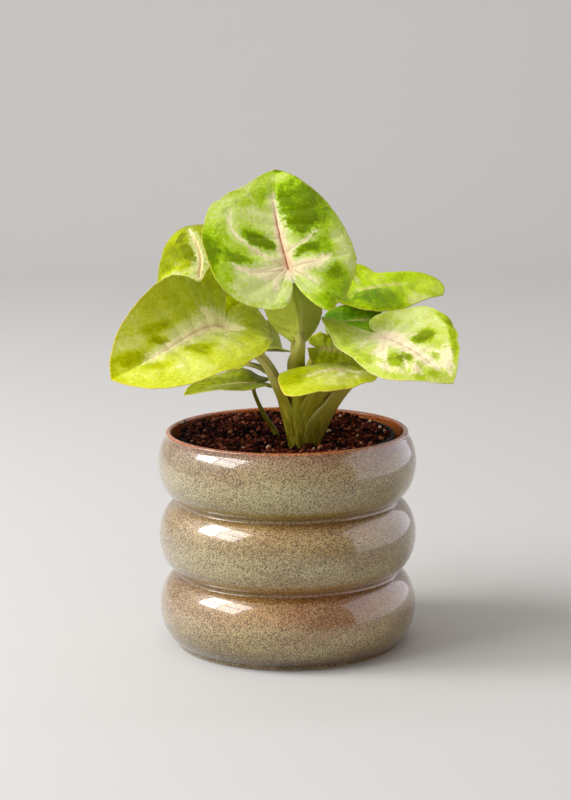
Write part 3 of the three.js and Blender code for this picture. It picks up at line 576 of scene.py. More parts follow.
def planter_profile(steps):
    """Section of the planter from the middle of its foot, up the rings, over the lip and down inside."""
    top = RING_COUNT - 1
    lip_middle = LIP_INNER_RADIUS + LIP_THICKNESS / 2
    floor_angle = math.degrees(math.asin((FLOOR_Z - FIRST_RING_Z) / RING_HALF_HEIGHT))
    inner = (INNER_CREASE_RADIUS, LIP_INNER_RADIUS)
    outer = (CREASE_RADIUS, FULL_RADIUS)
    leave, groove = crease_fillet(0, CREASE_ROUNDING)
    return np.concatenate(
        (
            [(0, 0.0), (FOOT_RADIUS * 0.5, 0.0), (FOOT_RADIUS - 2.2, 0.0)],
            arc((FOOT_RADIUS - FOOT_ROUNDING, FOOT_ROUNDING), FOOT_ROUNDING, -90, 0, 5),
            [(FOOT_RADIUS, FOOT_HEIGHT - 0.3), (FOOT_RADIUS + 0.2, FOOT_HEIGHT)],
            ring_arc(0, RING_START, 90 - leave, *outer, steps),
            groove,
            ring_arc(1, leave - 90, 90 - leave, *outer, steps),
            crease_fillet(1, CREASE_ROUNDING)[1],
            ring_arc(top, leave - 90, RING_END, *outer, steps),
            arc((lip_middle, LIP_TOP - LIP_THICKNESS / 2), LIP_THICKNESS / 2, 0, 180, 13),
            ring_arc(top, 0, -90, *inner, steps // 2)[1:],
            ring_arc(1, 90, -90, *inner, steps // 2)[1:],
            ring_arc(0, 90, floor_angle, *inner, steps // 2)[1:],
            [(INNER_CREASE_RADIUS - 2, FLOOR_Z), (0, FLOOR_Z)],
        )
    )


# Height in mm of each band of the glaze and its sRGB colour: it breaks to ochre in the creases and to rust
# on the shoulders, where it runs thin, and pools to a grey olive-beige on the bellies.
# The dark band about 3 mm up is painted shade in the step above the foot.
GLAZE_BANDS = [
    (0, "#7e6a44"), (2.6, "#7e6a44"), (3.2, "#4a3820"), (4.4, "#5e4a26"), (9, "#8c7844"), (16, "#b0a06a"),
    (24, "#b29464"), (31, "#ba8e56"), (36, "#b8893e"), (39.5, "#8a6018"), (43, "#9c762a"), (49, "#ac9a62"),
    (56, "#b6aa7a"), (64, "#a49058"), (71, "#bea26a"), (75.5, "#c69e5c"), (79.5, "#826818"), (83, "#98822a"),
    (89, "#aca066"), (97, "#b8ae7a"), (104, "#a8905c"), (109, "#ae9468"), (113, "#ae8e68"), (116.5, "#96603c"),
]


def glazed_stoneware(settings):
    """Reactive stoneware glaze, wheel-thrown and fired glossy: a clear wet shine over a body colour that changes
    in soft bands with the glaze's thickness, peppered all over with fine iron specks less than half a millimetre
    across, and orange-brown on the lip and inside. A painted reflection greys it towards -X, and painted shade
    darkens a band above the foot."""
    material, tree, shader = new_material("Speckled stoneware glaze")
    place = add_node(tree, "ShaderNodeTexCoord").outputs["Object"]
    axes = add_node(tree, "ShaderNodeSeparateXYZ", {"Vector": place}).outputs
    # Slow clouds, 25 to 60 mm long and flattened, move the bands up and down and mix in the rust.
    flat = add_node(tree, "ShaderNodeMapping", {"Vector": place, "Scale": (1, 1, 3.2)})
    drift = add_node(tree, "ShaderNodeTexNoise", {"Vector": flat, "Scale": 16.0, "Detail": 2.0})
    cloud = add_node(tree, "ShaderNodeTexNoise", {"Vector": flat, "Scale": 27.0, "Detail": 3.0})
    height = add_node(tree, "ShaderNodeMath", {0: drift, 1: 0.009, 2: axes["Z"]}, operation="MULTIPLY_ADD")
    reach = {"From Min": BAND_SHIFT * MM, "From Max": (BAND_SHIFT + LIP_TOP) * MM}
    share = add_node(tree, "ShaderNodeMapRange", {"Value": height, **reach})
    bands = add_node(tree, "ShaderNodeValToRGB", {"Fac": share})
    set_stops(bands.color_ramp, [(z / LIP_TOP, linear(code)) for z, code in GLAZE_BANDS], "B_SPLINE")
    # Iron specks and paler crystals, one in every cell 0.4 mm across; a cell's own random number picks its kind.
    grain = add_node(tree, "ShaderNodeTexVoronoi", {"Vector": place, "Scale": 2300.0}, feature="F1")
    pick = add_node(tree, "ShaderNodeSeparateXYZ", {"Vector": grain.outputs["Color"]})
    more = {"From Min": 0.35, "From Max": 0.65, "To Min": 0.12, "To Max": -0.12}
    more = add_node(tree, "ShaderNodeMapRange", {"Value": cloud, **more})
    level = add_node(tree, "ShaderNodeMath", {0: pick, 1: more}, operation="SUBTRACT")
    core, dark, pale, rusty, side, painted_room_reflection, ochre, bare = (
        add_node(tree, "ShaderNodeMapRange", {"Value": value, "From Min": low, "From Max": high, "To Max": most})
        for value, low, high, most in (
            (grain, 0.75, 0.45, 1.0),
            (level, 0.47, 0.55, 1.0),
            (level, 0.22, 0.1, 0.55),
            # Rust comes through in clouds, more of it towards +X.
            (cloud, 0.48, 0.72, 1.0),
            (axes["X"], -0.06, 0.07, 1.0),
            # Painted reflection: the glaze is greyed a little towards -X, like the bright room mirrored on that side;
            # it is more ochre towards +X.
            (axes["X"], -0.025, -0.07, 0.5),
            (axes["X"], 0.025, 0.068, 0.5),
            # The foot is wiped bare under its lowest millimetre.
            (axes["Z"], 0.0009, 0.0003, 1.0),
        )
    )
    specks, crystals, rusty = (
        add_node(tree, "ShaderNodeMath", {0: kind, 1: where}, operation="MULTIPLY")
        for kind, where in ((dark, core), (pale, core), (rusty, side))
    )
    rusty = add_node(tree, "ShaderNodeMath", {0: rusty, 1: 0.4}, operation="MULTIPLY")
    # One large rust cloud, 50 mm across, lies on the lowest ring's shoulder in front.
    squeezed = add_node(tree, "ShaderNodeMapping", {"Vector": place, "Scale": (1, 1, 2.4)})
    away = add_node(tree, "ShaderNodeVectorMath", {0: squeezed, 1: (0.022, -0.062, 0.079)}, operation="DISTANCE")
    spot = {"Value": away, "From Min": 0.042, "From Max": 0.012, "To Max": 0.75}
    spot = add_node(tree, "ShaderNodeMapRange", spot, interpolation_type="SMOOTHSTEP")
    rusty = add_node(tree, "ShaderNodeMath", {0: rusty, 1: spot}, operation="MAXIMUM")
    # Inside, the same glaze fired to a deep orange-brown.
    inside = add_node(tree, "ShaderNodeAttribute", attribute_name="inside", attribute_type="GEOMETRY").outputs["Fac"]
    surface = bands
    for share, over in (
        (rusty, settings.rust),
        (painted_room_reflection, linear("#aea292")),
        (ochre, linear("#8a6e20")),
        (inside, settings.inside),
        (specks, settings.speck),
        (crystals, settings.crystal),
        (bare, linear("#b59c78")),
    ):
        surface = add_node(tree, "ShaderNodeMix", {"Factor": share, "A": surface, "B": over}, data_type="RGBA")
    # The throwing leaves slow rises about 12 mm apart, and the specks pit the surface very slightly.
    pits = add_node(tree, "ShaderNodeBump", {"Strength": 0.08, "Distance": 0.0002, "Height": grain})
    wave = add_node(tree, "ShaderNodeTexNoise", {"Vector": flat, "Scale": 80.0, "Detail": 1.0})
    rises = add_node(tree, "ShaderNodeBump", {"Strength": 0.12, "Distance": 0.002, "Height": wave, "Normal": pits})
    looks = {
        "Base Color": surface,
        "Roughness": add_node(tree, "ShaderNodeMapRange", {"Value": grain, "To Min": 0.3, "To Max": 0.36}),
        "Normal": rises,
        "IOR": 1.52,
        # Inside, the glaze is thinner and shines less.
        "Coat Weight": add_node(tree, "ShaderNodeMapRange", {"Value": inside, "To Min": 1.0, "To Max": 0.15}),
        "Coat IOR": 1.6,
        "Coat Roughness": 0.05,
    }
    plug(tree, shader, looks)
    return material


class PlanterSettings(bpy.types.PropertyGroup):
    """Sizes and colours of the glazed planter."""

    segments: bpy.props.IntProperty(name="Segments", description="Faces round the planter", default=224, min=24)
    steps: bpy.props.IntProperty(name="Ring steps", description="Points up one ring", default=44, min=8)
    rust: colour_property("Rust", "Glaze where it runs thin", "#925010")
    inside: colour_property("Inside", "Glaze inside and on the lip", "#de6a18")
    speck: colour_property("Iron specks", "Dark specks", "#4c2c0c")
    crystal: colour_property("Crystals", "Pale specks", "#d6cba0")


class ARROWHEAD_OT_planter(bpy.types.Operator):
    """Turn the ringed stoneware planter."""

    bl_idname = "arrowhead.planter"
    bl_label = "Planter"

    def execute(self, context):
        settings = context.scene.arrowhead_planter
        points, faces = turned(planter_profile(settings.steps), settings.segments)
        radius, z = np.hypot(points[:, 0], points[:, 1]), points[:, 2]
        within = (radius < LIP_INNER_RADIUS + 0.3) & (z > FLOOR_Z - 0.1)
        within &= radius < np.interp(z, *planter_wall()) - WALL_LEAST
        lip = smooth((z - LIP_TOP + LIP_FADE) / 1.4)
        inside = np.maximum(np.where(within, 1.0, 0.0), lip * LIP_SHARE)
        piece = make_piece(
            "ringed_planter", points, faces, glazed_stoneware(settings), "glazed_stoneware", {"inside": inside}
        )
        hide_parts("planter")
        return {"FINISHED"}


def planter_wall():
    """Heights and radii of the planter's outer wall, rising, for looking up the radius at a height."""
    outer = (CREASE_RADIUS, FULL_RADIUS)
    spans = ((RING_START, 90), (-90, 90), (-90, RING_END))
    rings = [ring_arc(ring, start, end, *outer, 30) for ring, (start, end) in enumerate(spans)]
    wall = np.concatenate([[(FOOT_RADIUS, 0)], *rings, [(LIP_INNER_RADIUS + LIP_THICKNESS, LIP_TOP)]])
    order = np.argsort(wall[:, 1])
    return wall[order, 1], wall[order, 0]


# ---- Nursery pot --------------------------------------------------------------------------------


def black_polypropylene(settings):
    """Black polypropylene, injection moulded: an even satin skin with a faint orange peel and a few greyer,
    dusty places left by soil and water."""
    material, tree, shader = new_material("Black polypropylene")
    place = add_node(tree, "ShaderNodeTexCoord").outputs["Object"]
    dust = add_node(tree, "ShaderNodeTexNoise", {"Vector": place, "Scale": 120.0, "Detail": 4.0})
    dusty = add_node(tree, "ShaderNodeMapRange", {"Value": dust, "From Min": 0.55, "From Max": 0.8, "To Max": 0.1})
    layers = {"Factor": dusty, "A": settings.plastic, "B": settings.dust}
    peel = add_node(tree, "ShaderNodeTexNoise", {"Vector": place, "Scale": 900.0, "Detail": 1.0})
    looks = {
        "Base Color": add_node(tree, "ShaderNodeMix", layers, data_type="RGBA"),
        "Roughness": add_node(tree, "ShaderNodeMapRange", {"Value": dust, "To Min": 0.5, "To Max": 0.7}),
        "Normal": add_node(tree, "ShaderNodeBump", {"Strength": 0.1, "Distance": 0.0003, "Height": peel}),
        "Specular IOR Level": 0.06,
    }
    plug(tree, shader, looks)
    return material


class NurserySettings(bpy.types.PropertyGroup):
    """Colours of the nursery pot."""

    plastic: colour_property("Plastic", "Moulded plastic", "#060606")
    dust: colour_property("Dust", "Dried soil on it", "#4a3a30")


class ARROWHEAD_OT_nursery_pot(bpy.types.Operator):
    """Turn the thin nursery pot and cut its drain holes."""

    bl_idname = "arrowhead.nursery_pot"
    bl_label = "Nursery Pot"

    def execute(self, context):
        wall, floor, collar = NURSERY_WALL, NURSERY_BOTTOM_Z, NURSERY_COLLAR_Z
        rim_bottom = NURSERY_TOP_Z - NURSERY_RIM_HEIGHT
        rim_inner = NURSERY_COLLAR_RADIUS - wall
        profile = np.concatenate(
            (
                [(0, floor), (20, floor), (38, floor)],
                arc((NURSERY_BOTTOM_RADIUS - 1, floor + 1), 1, -90, -8, 5),
                [(NURSERY_BODY_TOP_RADIUS, collar), (NURSERY_COLLAR_RADIUS - 0.4, collar + wall - 0.2)],
                [(NURSERY_COLLAR_RADIUS, collar + wall + 0.5), (NURSERY_COLLAR_RADIUS, rim_bottom - 0.4)],
                arc((NURSERY_RIM_RADIUS - 0.5, rim_bottom + 0.5), 0.5, -90, 0, 4),
                arc((NURSERY_RIM_RADIUS - 0.7, NURSERY_TOP_Z - 0.7), 0.7, 0, 90, 6),
                arc((rim_inner + 0.5, NURSERY_TOP_Z - 0.5), 0.5, 90, 180, 5),
                [(rim_inner, collar + 2 * wall), (NURSERY_BODY_TOP_RADIUS - wall, collar + wall)],
                [(NURSERY_BOTTOM_RADIUS - wall, floor + wall), (0, floor + wall)],
            )
        )
        plastic = black_polypropylene(context.scene.arrowhead_nursery)
        pot = make_piece("black_nursery_pot", *turned(profile, NURSERY_SEGMENTS), plastic, "black_plastic")
        rod, rod_faces = turned([(0, -2), (DRAIN_RADIUS, -2), (DRAIN_RADIUS, 4), (0, 4)], DRAIN_SEGMENTS)
        for index, turn in enumerate(2 * math.pi * np.arange(DRAIN_COUNT) / DRAIN_COUNT):
            centre = (DRAIN_CIRCLE * math.cos(turn), DRAIN_CIRCLE * math.sin(turn), floor)
            cut = pot.modifiers.new("Drain hole", "BOOLEAN")
            cut.operation = "DIFFERENCE"
            cut.solver = "EXACT"
            cut.object = make_object(f"drain_cutter_{index}", rod + centre, rod_faces, plastic)
        context.view_layer.update()
        whole = pot.evaluated_get(context.evaluated_depsgraph_get())
        cut_mesh = bpy.data.meshes.new_from_object(whole)
        cutters = [modifier.object for modifier in pot.modifiers]
        pot.modifiers.clear()
        pot.data = cut_mesh
        for cutter in cutters:
            bpy.data.objects.remove(cutter)
        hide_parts("nursery_pot")
        return {"FINISHED"}


# ---- Soil ---------------------------------------------------------------------------------------


def soil_spill(x, y):
    """How far the mix is heaped over the nursery pot's rim, 0 to 1: all round but for the right and front right."""
    turn = np.degrees(np.arctan2(y, x))
    return smooth((np.abs((turn + 20 + 180) % 360 - 180) - 45) / 35)


def soil_height(x, y):
    """Height of the soil: the edge less a dip that deepens towards the middle, plus two sizes of lumps, plus
    crumbs 1.6 and 0.8 mm across raised where their noise is high."""
    share = np.hypot(x, y) / SOIL_RADIUS
    relief = lumps(x / SOIL_LUMP + 9, y / SOIL_LUMP + 4) + 0.7 * lumps(x / SOIL_CRUMB + 2, y / SOIL_CRUMB + 7)
    edge = 1 - share**6
    crumbs = 0.5 * np.abs(lumps(x / 1.6 + 31, y / 1.6 + 17)) + 0.28 * lumps(x / 0.8 + 5, y / 0.8 + 11)
    heap = soil_spill(x, y) * 1.5 * smooth((share - 0.8) / 0.2)
    return SOIL_EDGE_Z - SOIL_DIP * (1 - share**2) + SOIL_RELIEF * relief * edge + crumbs + heap


def potting_mix(settings):
    """Damp peat and bark potting mix: matt, nearly black in patches and red-brown on the crumbs, with tan bark chips
    and a few pale grains of perlite, and darkened towards -X by painted shade. The tone attribute of the loose crumbs
    picks their kind."""
    material, tree, shader = new_material("Peat and bark potting mix")
    place = add_node(tree, "ShaderNodeTexCoord").outputs["Object"]
    clump = add_node(tree, "ShaderNodeTexNoise", {"Vector": place, "Scale": 330.0, "Detail": 5.0, "Roughness": 0.65})
    tone = add_node(tree, "ShaderNodeAttribute", attribute_name="tone", attribute_type="GEOMETRY").outputs["Fac"]
    mixed = add_node(tree, "ShaderNodeMath", {0: clump, 1: 0.5, 2: tone}, operation="MULTIPLY_ADD")
    ramp = add_node(tree, "ShaderNodeValToRGB", {"Fac": mixed})
    kinds = (settings.dark_mix_and_shade, settings.dark_mix_and_shade, settings.peat, settings.bark, linear("#b08a6a"), linear("#f2d0b4"))
    set_stops(ramp.color_ramp, zip((0.0, 0.27, 0.4, 0.6, 0.82, 1.0), kinds))
    # Painted shade: the mix is darker towards -X, where the lip and the leaves shade it.
    across = add_node(tree, "ShaderNodeSeparateXYZ", {"Vector": place})
    unshaded_soil = add_node(tree, "ShaderNodeMapRange", {"Value": across, "From Min": -0.05, "From Max": 0.03, "To Min": 0.22})
    layers = {"Factor": unshaded_soil, "A": settings.dark_mix_and_shade, "B": ramp}
    fine = add_node(tree, "ShaderNodeTexNoise", {"Vector": place, "Scale": 1400.0, "Detail": 4.0, "Roughness": 0.7})
    looks = {
        "Base Color": add_node(tree, "ShaderNodeMix", layers, data_type="RGBA"),
        "Roughness": 0.92,
        "Specular IOR Level": 0.06,
        "Normal": add_node(tree, "ShaderNodeBump", {"Strength": 0.7, "Distance": 0.0006, "Height": fine}),
    }
    plug(tree, shader, looks)
    return material


GOLDEN = 1.618034
ICOSAHEDRON = np.array(
    [(x, y * GOLDEN, 0) for x in (-1, 1) for y in (-1, 1)]
    + [(0, x, y * GOLDEN) for x in (-1, 1) for y in (-1, 1)]
    + [(y * GOLDEN, 0, x) for x in (-1, 1) for y in (-1, 1)]
) / math.hypot(1, GOLDEN)


def icosahedron_faces():
    """The twenty triangles of the icosahedron: triples of points one edge apart, turned to face out."""
    gap = np.linalg.norm(ICOSAHEDRON[:, None] - ICOSAHEDRON, axis=-1)
    near = (gap > 0.1) & (gap < 1.1)
    i, j, k = np.nonzero(near[:, :, None] & near[None, :, :] & near[:, None, :])
    keep = (i < j) & (j < k)
    faces = np.stack((i[keep], j[keep], k[keep]), -1)
    a, b, c = (ICOSAHEDRON[faces[:, n]] for n in range(3))
    inward = np.einsum("ij,ij->i", np.cross(b - a, c - a), a) < 0
    faces[inward] = faces[inward][:, ::-1]
    return faces


def random_turns(dice, count):
    """Rotation matrices from unit quaternions of four normal numbers."""
    q = dice.normal(size=(count, 4))
    w, x, y, z = (q / np.linalg.norm(q, axis=1, keepdims=True)).T
    rows = (
        (1 - 2 * (y * y + z * z), 2 * (x * y - w * z), 2 * (x * z + w * y)),
        (2 * (x * y + w * z), 1 - 2 * (x * x + z * z), 2 * (y * z - w * x)),
        (2 * (x * z - w * y), 2 * (y * z + w * x), 1 - 2 * (x * x + y * y)),
    )
    return np.moveaxis(np.array(rows), -1, 0)


# Larger pale bits on top of the mix: x, y and half size in mm.
PALE_CHIPS = (
    (23, 11, 1.3), (34, 3, 1.4), (51, 14, 0.8), (53, 5, 0.8), (38, -5, 0.8), (19, 4, 0.8), (30, 43, 0.8),
    (46, 31, 0.8), (39, -26, 0.8), (-10, -32, 0.9), (14, -36, 0.8), (7, -51, 0.8), (-57, 23, 1.0), (-27, 60, 0.7),
)


def loose_crumbs(count, seed):
    """Crumbs lying on the soil: stretched icosahedra with each corner moved in or out by up to a quarter, turned at
    random and sunk a third of their size into the surface. Most are peat; a few are bark or perlite."""
    dice = np.random.default_rng(seed)
    radius = (NURSERY_RIM_RADIUS - 0.5) * np.sqrt(dice.random(count))
    angle = 2 * math.pi * dice.random(count)
    x, y = radius * np.cos(angle), radius * np.sin(angle)
    size = CRUMB_LEAST + CRUMB_RANGE * dice.random(count) ** 4
    tone = 0.17 * dice.random(count) + 0.14 * lumps(x / 7 + 3, y / 7 + 8)
    bark = dice.random(count) < BARK_SHARE
    perlite = dice.random(count) < PERLITE_SHARE
    tone = np.where(bark, 0.22 + 0.2 * dice.random(count), tone)
    tone = np.where(perlite, PERLITE_TONE, tone)
    size = np.where(bark, size * 1.25, size)
    chips = np.array(PALE_CHIPS)
    x[: len(chips)], y[: len(chips)], size[: len(chips)] = chips.T
    tone[: len(chips)] = CHIP_TONE
    stretch = 1 + dice.random((count, 1, 3)) * np.array((1.0, 0.35, 0.1))
    corners = ICOSAHEDRON[None] * stretch * (0.75 + 0.5 * dice.random((count, 12, 1)))
    corners = np.einsum("nij,nkj->nki", random_turns(dice, count), corners) * size[:, None, None]
    over_rim = radius > SOIL_RADIUS - 0.8
    height = np.where(over_rim, np.maximum(soil_height(x, y), NURSERY_TOP_Z), soil_height(x, y))
    height[: len(chips)] += 0.4 * size[: len(chips)]
    centre = np.stack((x, y, height + 0.3 * size), -1)
    clear = np.hypot(x - CROWN_SOIL[0], y - CROWN_SOIL[1]) > CROWN_RADIUS - 1.2
    clear &= (radius + 1.6 * size < SOIL_RADIUS) | (dice.random(count) < 1.4 * soil_spill(x, y) - 0.2)
    points = (corners + centre[:, None])[clear].reshape(-1, 3)
    number = int(clear.sum())
    faces = (icosahedron_faces()[None] + 12 * np.arange(number)[:, None, None]).reshape(-1, 3)
    return points, faces, np.repeat(tone[clear], 12)


class SoilSettings(bpy.types.PropertyGroup):
    """Amount and colours of the potting mix."""

    crumbs: bpy.props.IntProperty(name="Crumbs", description="Loose crumbs on the surface", default=8400, min=0)
    # The darkest mix, which is also the colour of the painted shade towards -X.
    dark_mix_and_shade: colour_property("Hollows", "Damp mix in the hollows", "#090201")
    peat: colour_property("Peat", "Peat crumbs", "#5a1e10")
    bark: colour_property("Bark", "Bark chips", "#a85c40")


class ARROWHEAD_OT_soil(bpy.types.Operator):
    """Fill the nursery pot with potting mix and scatter loose crumbs on it."""

    bl_idname = "arrowhead.soil"
    bl_label = "Soil"

    def execute(self, context):
        settings = context.scene.arrowhead_soil
        material = potting_mix(settings)
        segments, rings = 320, 104
        angle = round_angles(segments)
        inset = NURSERY_WALL + CLEARANCE
        floor = NURSERY_BOTTOM_Z + inset
        side = np.array(
            [
                (NURSERY_BOTTOM_RADIUS - inset, floor),
                (NURSERY_BODY_TOP_RADIUS - inset, NURSERY_COLLAR_Z + NURSERY_WALL),
                (SOIL_RADIUS, NURSERY_COLLAR_Z + 2 * NURSERY_WALL + 1),
            ]
        )
        radius = np.concatenate((side[:, 0], SOIL_RADIUS * np.linspace(1, 1 / rings, rings)))
        x, y = radius[:, None] * np.cos(angle), radius[:, None] * np.sin(angle)
        z = soil_height(x, y)
        z[: len(side)] = side[:, 1:]
        points, faces = capped(np.stack((x, y, z), -1), (0, 0, floor), (0, 0, float(soil_height(0.0, 0.0))))
        tone = 0.04 + 0.09 * lumps(points[:, 0] / 2.3 + 3, points[:, 1] / 2.3 + 8)
        tone[-2:] = 0
        bed = make_piece("potting_mix", points, faces, material, "potting_soil", {"tone": tone})
        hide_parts("soil")
        points, faces, tone = loose_crumbs(settings.crumbs, CRUMB_SEED)
        make_piece("soil_crumbs", points, [faces], material, "potting_soil", {"tone": tone})
        return {"FINISHED"}


# ---- Blades -------------------------------------------------------------------------------------


def blade_axes(leaf):
    """Unit vectors at the joint: along the midrib, to its right and out of the upper face."""
    compass, rise = np.radians(leaf["aim"])
    roll = math.radians(leaf["roll"])
    along = np.array((math.cos(rise) * math.cos(compass), math.cos(rise) * math.sin(compass), math.sin(rise)))
    level = np.array((math.sin(compass), -math.cos(compass), 0.0))
    above = np.cross(level, along)
    side = level * math.cos(roll) - above * math.sin(roll)
    up = above * math.cos(roll) + level * math.sin(roll)
    return along, side, up


def interpolate(places, values, place):
    """Smooth curve through samples at uneven places: Hermite pieces with slopes from the neighbours."""
    places, values = np.asarray(places, float), np.asarray(values, float)
    rise = np.diff(values) / np.diff(places)
    gaps = np.diff(places)
    slope = np.empty_like(values)
    slope[0], slope[-1] = rise[0], rise[-1]
    slope[1:-1] = (rise[:-1] * gaps[1:] + rise[1:] * gaps[:-1]) / (gaps[:-1] + gaps[1:])
    i = np.clip(np.searchsorted(places, place, side="right") - 1, 0, len(places) - 2)
    t = (place - places[i]) / gaps[i]
    return hermite(t, values[i], values[i + 1], gaps[i] * slope[i], gaps[i] * slope[i + 1])


def outline_radius(leaf, half, degrees):
    """Outline radius of the right (half > 0) or left half at an angle from the tip."""
    right = interpolate(OUTLINE_ANGLES, (leaf["length"], *leaf["right"], leaf["sinus"]), degrees)
    left = interpolate(OUTLINE_ANGLES, (leaf["length"], *leaf["left"], leaf["sinus"]), degrees)
    return np.where(half > 0, right, left)


def bend_blade(leaf, u, v, rise=0.0):
    """A point of the flat blade (u to the right, v to the tip, rise off it) bent to its place in space: each half
    is folded up from the midrib and curled into an arc, the tip and the lobes are bent down in arcs along v."""
    along, side, up = blade_axes(leaf)
    right = u >= 0
    lobe = smooth(-v / (LOBE_SHARE * leaf["length"]))
    ease = smooth(np.hypot(u, v) / FLAT_REACH)
    fold_left = leaf["fold"][0] + leaf["lobe_fold"][0] * lobe
    fold_right = leaf["fold"][1] + leaf["lobe_fold"][1] * lobe
    fold = ease * np.radians(np.where(right, fold_right, fold_left))
    curl = np.radians([angle or LEAST_BEND for angle in leaf["curl"]]) / (HALF_WIDTH_SHARE * leaf["length"])
    bend = np.where(right, curl[1], curl[0])
    reach = np.abs(u)
    across = (np.sin(fold + bend * reach) - np.sin(fold)) / bend * np.where(right, 1, -1)
    lift = (np.cos(fold) - np.cos(fold + bend * reach)) / bend + rise
    nod, heel = leaf["nod"] or LEAST_BEND, leaf["heel"] or LEAST_BEND
    droop = np.radians(np.where(v >= 0, nod, heel)) / leaf["length"]
    sway = np.where(v > 0, leaf["sway"] * (v / leaf["length"]) ** 2, 0)
    forward = np.sin(droop * v) / droop + lift * np.sin(droop * v)
    height = (np.cos(droop * v) - 1) / droop + lift * np.cos(droop * v)
    return (
        np.array(leaf["joint"], float)
        + (across + sway)[..., None] * side
        + forward[..., None] * along
        + height[..., None] * up
    )


def rounded(path):
    """A path of a few points with its corners cut three times, which leaves its ends in place."""
    path = np.asarray(path, float)
    for _ in range(3):
        quarter = path[:-1] * 0.75 + path[1:] * 0.25
        most = path[:-1] * 0.25 + path[1:] * 0.75
        middle = np.stack((quarter, most), 1).reshape(-1, 2)
        path = np.concatenate((path[:1], middle, path[-1:]))
    return path


def nearest_on(path, points):
    """Distance of each flat point from a path, and how far along the path, 0 to 1, its nearest place is."""
    path = rounded(path)
    start, step = path[:-1], np.diff(path, axis=0)
    length = np.linalg.norm(step, axis=1)
    offset = points[:, None] - start
    along = np.clip(np.einsum("nij,ij->ni", offset, step) / length**2, 0, 1)
    gap = np.linalg.norm(offset - along[..., None] * step, axis=-1)
    best = gap.argmin(1)
    rows = np.arange(len(points))
    travelled = np.concatenate(((0,), np.cumsum(length)))[:-1]
    place = (travelled[best] + along[rows, best] * length[best]) / length.sum()
    return gap[rows, best], place


def side_veins(leaf):
    """The finer side veins by rule: from places up the midrib, bowed back, to nine tenths of the outline's radius at
    given angles from the tip, on both halves."""
    places = ((0.0, 150), (0.01, 122), (0.03, 96), (0.14, 74), (0.26, 56), (0.39, 41), (0.52, 29), (0.66, 18))
    paths = []
    for half in (-1, 1):
        for up_rib, degrees in places:
            radius = 0.9 * float(outline_radius(leaf, half, float(degrees)))
            start = np.array((0.0, up_rib * leaf["length"]))
            end = radius * np.array((half * math.sin(math.radians(degrees)), math.cos(math.radians(degrees))))
            bow = np.array((half * 0.06, -0.14)) * np.linalg.norm(end - start)
            paths.append((start, start * 0.6 + end * 0.4 + bow, start * 0.25 + end * 0.75 + 0.8 * bow, end))
    return paths


def patch_field(patches, points):
    """Sum of soft-edged ellipses: full depth inside 0.5 times the ellipse, none beyond 1.5 times it, with an outline
    that lumps 3 mm and 1 mm long push in and out."""
    total = np.zeros(len(points))
    x, y = points.T
    push = 0.26 * lumps(x / 3 + 7, y / 3 + 2) + 0.16 * lumps(x / 1.1 + 5, y / 1.1 + 9)
    for u, v, half_length, half_width, turn, depth in patches:
        a = math.radians(turn)
        du, dv = x - u, y - v
        along = (du * math.sin(a) + dv * math.cos(a)) / half_length
        across = (du * math.cos(a) - dv * math.sin(a)) / half_width
        total += depth * smooth(1.5 - np.hypot(along, across) + push)
    return total


def vein_fields(leaf, points):
    """From the veins: the pale haze and the cream band round the main ribs (wide at the joint, drawn out to a thread
    at the end), the blush in it, the fine coloured line, the relief in mm (a channel along each rib, a shallower one
    along side veins, and the skin between them swollen) and the side veins themselves. Bands swell and shrink by
    lumps 4 mm long and by streaks drawn out along rays from the joint."""
    band, haze, blush, line, relief, faint = np.zeros((6, len(points)))
    u, v = points.T
    reach = np.hypot(u, v)
    turn = np.arctan2(u, v)
    from_joint = reach / leaf["length"]
    streaks = lumps(9 * turn + 5, reach / 8) + 0.7 * lumps(23 * turn + 11, reach / 4)
    ragged = np.maximum(1 + 0.34 * lumps(u / 4, v / 4) + 0.22 * lumps(u / 1.7, v / 1.7) + 0.3 * streaks, 0.25)
    calm = 0.5 + 0.5 * ragged
    for number, (path, width, strength) in enumerate(leaf["ribs"]):
        main = number == 0
        gap, place = nearest_on(path, points)
        half = (width * (1 - 0.86 * place**0.75) + 0.3) * (calm if main else ragged)
        fade = 1 - smooth((place - 0.7) / 0.3)
        band = np.maximum(band, strength * np.clip(1.5 - gap / half, 0, 1) * fade)
        band = np.maximum(band, 0.55 * strength * np.exp(-((gap / 0.5) ** 2)) * fade)
        haze = np.maximum(haze, strength * smooth(1.5 - gap / (2.2 * half + 1.2)) * fade)
        blush_reach = 0.85 if main else 0.24
        flush = np.exp(-((gap / (0.4 * half + 0.4)) ** 2)) * (1 - smooth(from_joint / blush_reach))
        blush = np.maximum(blush, (leaf.get("flush", 1.0) if main else 0.12) * flush)
        thick, end = (0.45, 0.8) if main else (0.36, 0.62)
        thread = np.exp(-((gap / (thick * (1 - 0.5 * place))) ** 2)) * (1 - smooth((place - end + 0.3) / 0.3))
        line = np.maximum(line, (1.0 if main else 0.5) * strength * leaf.get("line", 1.0) * thread)
        relief -= (1.0 if main else 0.4) * CHANNEL_DEPTH * np.exp(-(gap**2)) * (1 - 0.6 * place)
    quilt = np.full(len(points), 99.0)
    for path in side_veins(leaf):
        gap, place = nearest_on(path, points)
        quilt = np.minimum(quilt, gap + 3 * smooth((place - 0.9) / 0.1))
        faint = np.maximum(faint, np.exp(-((gap / 0.6) ** 2)) * (1 - place))
    relief += QUILT_HEIGHT * smooth(quilt / QUILT_REACH) + 0.16 * lumps(u / 5 + 3, v / 5 + 6)
    relief -= SIDE_CHANNEL_DEPTH * faint
    return band, haze, blush, line, relief, faint


def vertex_normals(points, faces):
    """Unit normals of a mesh of quads: each face's diagonals crossed, added up at its corners."""
    a, b, c, d = (points[faces[:, n]] for n in range(4))
    face = np.cross(c - a, d - b)
    total = np.zeros_like(points)
    for n in range(4):
        np.add.at(total, faces[:, n], face)
    return total / np.maximum(np.linalg.norm(total, axis=1, keepdims=True), 1e-12)


